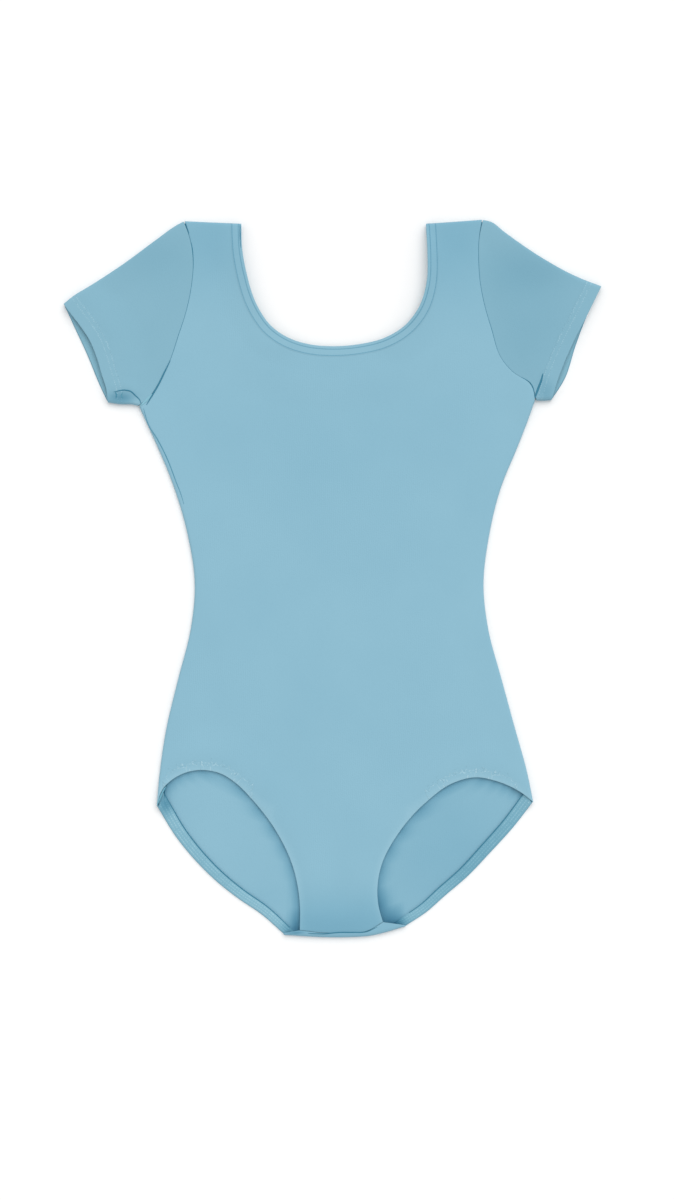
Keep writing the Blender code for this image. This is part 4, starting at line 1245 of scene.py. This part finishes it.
# %% Neck and leg strips
# Painted shade on the strips: darker on the right leg, deepest at both crotch corners and at the left hip
BAND_PAINTED_SHADE = (
    Tone(0.28, 100, -200, 60, 60),
    Tone(0.08, -90, -208, 40, 40),
    Tone(2.35, 38.2, -246, 8, 7),
    Tone(0.45, 46.5, -248.5, 8, 4.5),
    Tone(0.55, -29, -253, 7, 7),
    Tone(0.60, -119.7, -162, 5, 7),
)
BAND_SCATTER = 0.92        # how loose the strips' stitches look
inner_edge = {}
band_surface = {}
front_surface = surface_of(panels["front"])
for layer, surface in (("front", front_surface), ("back", None)):
    # a strip on the back shows its upper face, so its wall goes down from there
    edges = [("neck_band_" + layer, neck[layer], -1.0, (NECK_BAND_WIDTH,) * 2, 4.0, 2.0, None)]
    crotch_width = LEG_BAND_WIDTH if layer == "front" else LEG_BAND_CROTCH_WIDTH
    corner = (20.0, 0.3) if layer == "front" else (1.0, 20.0)
    for side, inward in (("left", 1.0), ("right", -1.0)):
        name = "leg_band_" + side + "_" + layer
        neighbours = None
        if layer == "back":
            fold = crotch["back"] if side == "left" else crotch["back"][::-1]
            turned_in = inward * RUN_ON_INSET
            neighbours = (beside(side_seam[side], -turned_in), beside(fold, turned_in))
        edges.append((name, leg[layer, side], inward, (LEG_BAND_WIDTH, crotch_width), *corner, neighbours))
    for name, edge, inward, widths, start_inset, taper, neighbours in edges:
        points = band_points(edge, inward, widths, surface, start_inset, taper, neighbours)
        grain = band_grain(points)
        scatter = np.full(grain.shape[:2], BAND_SCATTER)
        trim = np.stack((grain[..., 0], grain[..., 1].max() - grain[..., 1], scatter), axis=-1)
        tone = painted_shading_at(points, BAND_PAINTED_SHADE)
        mesh = cloth_mesh(name, points, grain, face_up=True, trim=trim, tone=tone)
        inner_edge[name] = points[-1]
        band_surface[name] = surface_of(points)
        pieces[name] = give_wall(add_piece(name + "_cloth", mesh, "turned", name), JERSEY)
        print(name, points.shape)

# %% [markdown]
# ## Seams
#
# At each armhole and at the crotch the two pieces meet edge to edge, and their seam allowances lie below.
# The seam shows as a thin line in its own shade. A line could be painted on the cloth, but a strip under
# each seam, its real allowance painted dark as the seam's shade, also shows where the seam opens. The lines
# of shade that the cloth's own folds make, such as the side seam that rolls to the front, are thin ribbons
# of painted shade on it.

# %% Seam allowances
ALLOWANCE_WIDTH = 6.0
ALLOWANCE_CELLS = 60
ALLOWANCE_THICK = 0.4      # mm, each cut edge trimmed and pressed flat
ALLOWANCE_UNDER = JERSEY + 0.15      # mm below the upper layer's face
ALLOWANCE_ON_BACK = JERSEY + 0.65    # mm above the table
CROTCH_SEAM_WIDTH = 4.0
SEAM_LINE_WIDTH = 0.7
SEAM_LINE_DEPTH = 0.1
LINE_THICK = 0.1
SHADE_LINE_STOPS = {"left": 3, "right": 0}      # cells of the armhole's line that are left off


def strip_points(line, widths, height):
    """Return the points of a strip along a line: three rows, with a width and a height at each point."""
    step = (beside(line, 1.0) - line) * 0.5 * np.asarray(widths)[:, None]
    return np.stack([with_height(line + step * part, height) for part in (-1.0, 0.0, 1.0)])


def add_strip(name, points, thickness, tone=1.0):
    """Add a strip of seam cloth with its wall, in the seam finish's painted shade; a tone under 1 paints it
    paler.
    """
    mesh = cloth_mesh(name, points, band_grain(points), face_up=True, tone=np.full(points.shape[:2], tone))
    piece = add_piece(name, mesh, "seam")
    wall = piece.modifiers.new("wall", "SOLIDIFY")
    wall.thickness = thickness * MM
    wall.offset = -1.0
    return piece


for side in SIDES:
    line = armhole_points(side, ALLOWANCE_CELLS)
    widths = np.full(len(line), ALLOWANCE_WIDTH)
    above = strip_points(line, widths, upper_height(line) - ALLOWANCE_UNDER)
    below = strip_points(line, widths, ALLOWANCE_ON_BACK)
    # the allowances are real cloth, in the seam finish's painted shade
    pieces["seam_upper_" + side] = add_strip("armhole_seam_front_" + side, above, ALLOWANCE_THICK)
    pieces["seam_lower_" + side] = add_strip("armhole_seam_back_" + side, below, ALLOWANCE_THICK)
    # Painted shade: a thin dark ribbon just under the face marks the seam's line; near the left underarm it
    # is left off
    line = line[: len(line) - SHADE_LINE_STOPS[side]]
    thread = strip_points(line, np.full(len(line), SEAM_LINE_WIDTH), upper_height(line) - SEAM_LINE_DEPTH)
    pieces["seam_line_" + side] = add_strip("armhole_seam_line_" + side, thread, LINE_THICK)
line = even_points(crotch["front"], ALLOWANCE_CELLS, CROTCH_SEAM_WIDTH, CROTCH_SEAM_WIDTH)
widths = np.full(len(line), CROTCH_SEAM_WIDTH)
under = strip_points(line, widths, upper_height(line) - ALLOWANCE_UNDER)
# the crotch seam's allowance, real cloth in the seam finish's painted shade
pieces["seam_crotch"] = add_strip("crotch_seam", under, ALLOWANCE_THICK)
print("pieces so far:", len(pieces))

# %% Lines of painted light and shade on the cloth
LINE_LIFT = 0.12           # mm above the cloth
BAND_LINE_WIDTH = 0.8
BAND_LINE_ENDS = {"left": -30.0, "right": 54.7}       # x where each back leg's line fades out
Line = namedtuple("Line", "name surface width tone lift spots")


def laid_line(line):
    """Add a thin ribbon of painted light and shade on a surface along a row of spots, thinner towards both
    ends.
    """
    cells = 8 * len(line.spots)
    path = even_points(smooth_curve(line.spots), cells)
    ends = np.sin(np.pi * np.linspace(0.03, 0.97, cells + 1)) ** 0.5
    height = [
        line.surface.find_nearest(Vector((*spot, 2.0 * PLAIN_HEIGHT)))[0].z + line.lift for spot in path
    ]
    ribbon = strip_points(path, line.width * ends, np.array(height))
    return add_strip(line.name, ribbon, LINE_THICK, line.tone)


LINES = (
    # Painted shade in the groove where the left side seam rolls to the front
    Line(
        "side_seam_line_left", front_surface, 0.6, 0.8, LINE_LIFT,
        (
            (-135.6, 122.0), (-132.2, 110.4), (-125.7, 99.9), (-118.6, 85.7), (-112.1, 68.8), (-108.2, 58.5),
            (-106.8, 53.3),
        ),
    ),
    # The back's strap edge beside the left strap, its shadow painted as a dark line
    Line("strap_painted_shadow_left", front_surface, 0.9, 1.0, LINE_LIFT, ((-66.3, 254), (-66.0, 246), (-65.6, 237))),
    # The edge of the left hip's side seam allowance, real, with its shade painted as a dark line
    Line(
        "hip_allowance_line_left", band_surface["leg_band_left_back"], 0.7, 1.0, LINE_LIFT,
        ((-118.6, -147.5), (-120.6, -152.5), (-120.4, -158.0)),
    ),
    # The crotch seam, with the shade in its groove painted as a dark line
    Line(
        "crotch_seam_line", front_surface, 0.8, 1.0, LINE_LIFT,
        ((-17.5, -255.0), (-6.8, -255.4), (5.3, -254.4), (14.7, -254.4), (24.6, -253.9), (32.0, -250.6)),
    ),
    # The left armhole seam, with its shade painted as a dark line
    Line(
        "armhole_line_left", front_surface, 1.1, 1.0, 0.22,
        ((-116.5, 156.7), (-120.6, 148.4), (-124.4, 140.5), (-129.4, 131.6), (-133.6, 124.6)),
    ),
    # Painted soft shade over the crevice under the front's edge at the left hip
    Line(
        "hip_edge_painted_shade_left", front_surface, 1.3, 0.62, 0.06,
        ((-119.6, -149.6), (-121.3, -152.4), (-123.4, -157.0), (-125.7, -162.8)),
    ),
    # Painted light: a ribbon in nearly the cloth's own colour over the seam's gap by the left underarm, which
    # paints its shade out
    Line(
        "underarm_painted_light_left", front_surface, 1.7, 0.47, 0.06,
        ((-129.5, 132.4), (-134.5, 127.0), (-138.4, 123.7)),
    ),
    # The seam under the left arm, with the shade of its crease painted as a dark line
    Line(
        "underarm_line_left", sleeve_surface["left"], 0.9, 1.0, LINE_LIFT,
        ((-157, 133.8), (-149, 135.1), (-145, 134.3), (-141.4, 131.2), (-138.6, 128.4), (-137.2, 125)),
    ),
    # Painted shade in the outer crease of the gather under the left arm
    Line(
        "underarm_gather_outer_left", sleeve_surface["left"], 1.0, 0.85, LINE_LIFT,
        ((-155.8, 133.8), (-155.0, 131.5), (-155.5, 129.2)),
    ),
    # Painted shade in the inner crease of the gather under the left arm
    Line(
        "underarm_gather_inner_left", sleeve_surface["left"], 0.8, 0.75, LINE_LIFT,
        ((-150.8, 133.4), (-151.4, 131.2), (-150.4, 128.8)),
    ),
    # Painted shade in the slit of the tuck under the right arm
    Line(
        "underarm_slit_right", sleeve_surface["right"], 1.6, 1.0, LINE_LIFT,
        ((151.2, 147), (150, 142), (147.6, 135.6), (145.2, 129)),
    ),
)
# Each back strip's inner edge: its real stitch line and the shade under it, painted as one dark line
for side in SIDES:
    edge = inner_edge["leg_band_" + side + "_back"]
    edge = edge[np.abs(edge[:, 0]) > abs(BAND_LINE_ENDS[side])]
    widths = BAND_LINE_WIDTH * np.sin(np.pi * np.linspace(0.03, 0.97, len(edge))) ** 0.3
    name = "leg_band_line_" + side
    pieces[name] = add_strip(name, strip_points(edge[:, :2], widths, edge[:, 2] + LINE_LIFT), LINE_THICK)
for line in LINES:
    pieces[line.name] = laid_line(line)
print("pieces in all:", len(pieces))

# %% [markdown]
# ## What each piece was cut from
#
# Front, back and both sleeves are the cuts of cloth. Each turned edge is part of its panel's cut, and the
# seam strips are the cuts' allowances, so they go with them, as do the ribbons of painted light and shade
# that lie on each cut. Sizes are of each cut's rectangle.

# %% Sheets of cloth
Cut = namedtuple("Cut", "width length area rests_on trims")      # metres and square metres


def measured(piece):
    """Return a sheet's area in m2, half of its whole surface with its modifiers."""
    whole = piece.evaluated_get(bpy.context.evaluated_depsgraph_get()).to_mesh()
    return 0.5 * sum(face.area for face in whole.polygons)


CUTS = {
    "front": Cut(0.288, 0.520, 0.0925, ["back"], (
        "neck_band_front", "leg_band_left_front", "leg_band_right_front", "strap_painted_shadow_left",
        "side_seam_line_left", "hip_edge_painted_shade_left",
    )),
    "back": Cut(0.288, 0.530, 0.1045, [], (
        "neck_band_back", "leg_band_left_back", "leg_band_right_back", "leg_band_line_left",
        "leg_band_line_right", "seam_crotch", "crotch_seam_line", "hip_allowance_line_left",
    )),
    "sleeve_left": Cut(0.290, 0.096, 0.0144, [], (
        "cuff_hem_left", "seam_upper_left", "seam_lower_left", "seam_line_left", "armhole_line_left",
        "underarm_line_left", "underarm_painted_light_left", "underarm_gather_outer_left",
        "underarm_gather_inner_left",
    )),
    "sleeve_right": Cut(0.290, 0.092, 0.0130, [], (
        "cuff_hem_right", "seam_upper_right", "seam_lower_right", "seam_line_right", "underarm_slit_right",
    )),
}
for name, cut in CUTS.items():
    print(name, "cm2 of cloth:", round(measured(pieces[name]) * 1e4, 1), "cut:", round(cut.area * 1e4, 1))
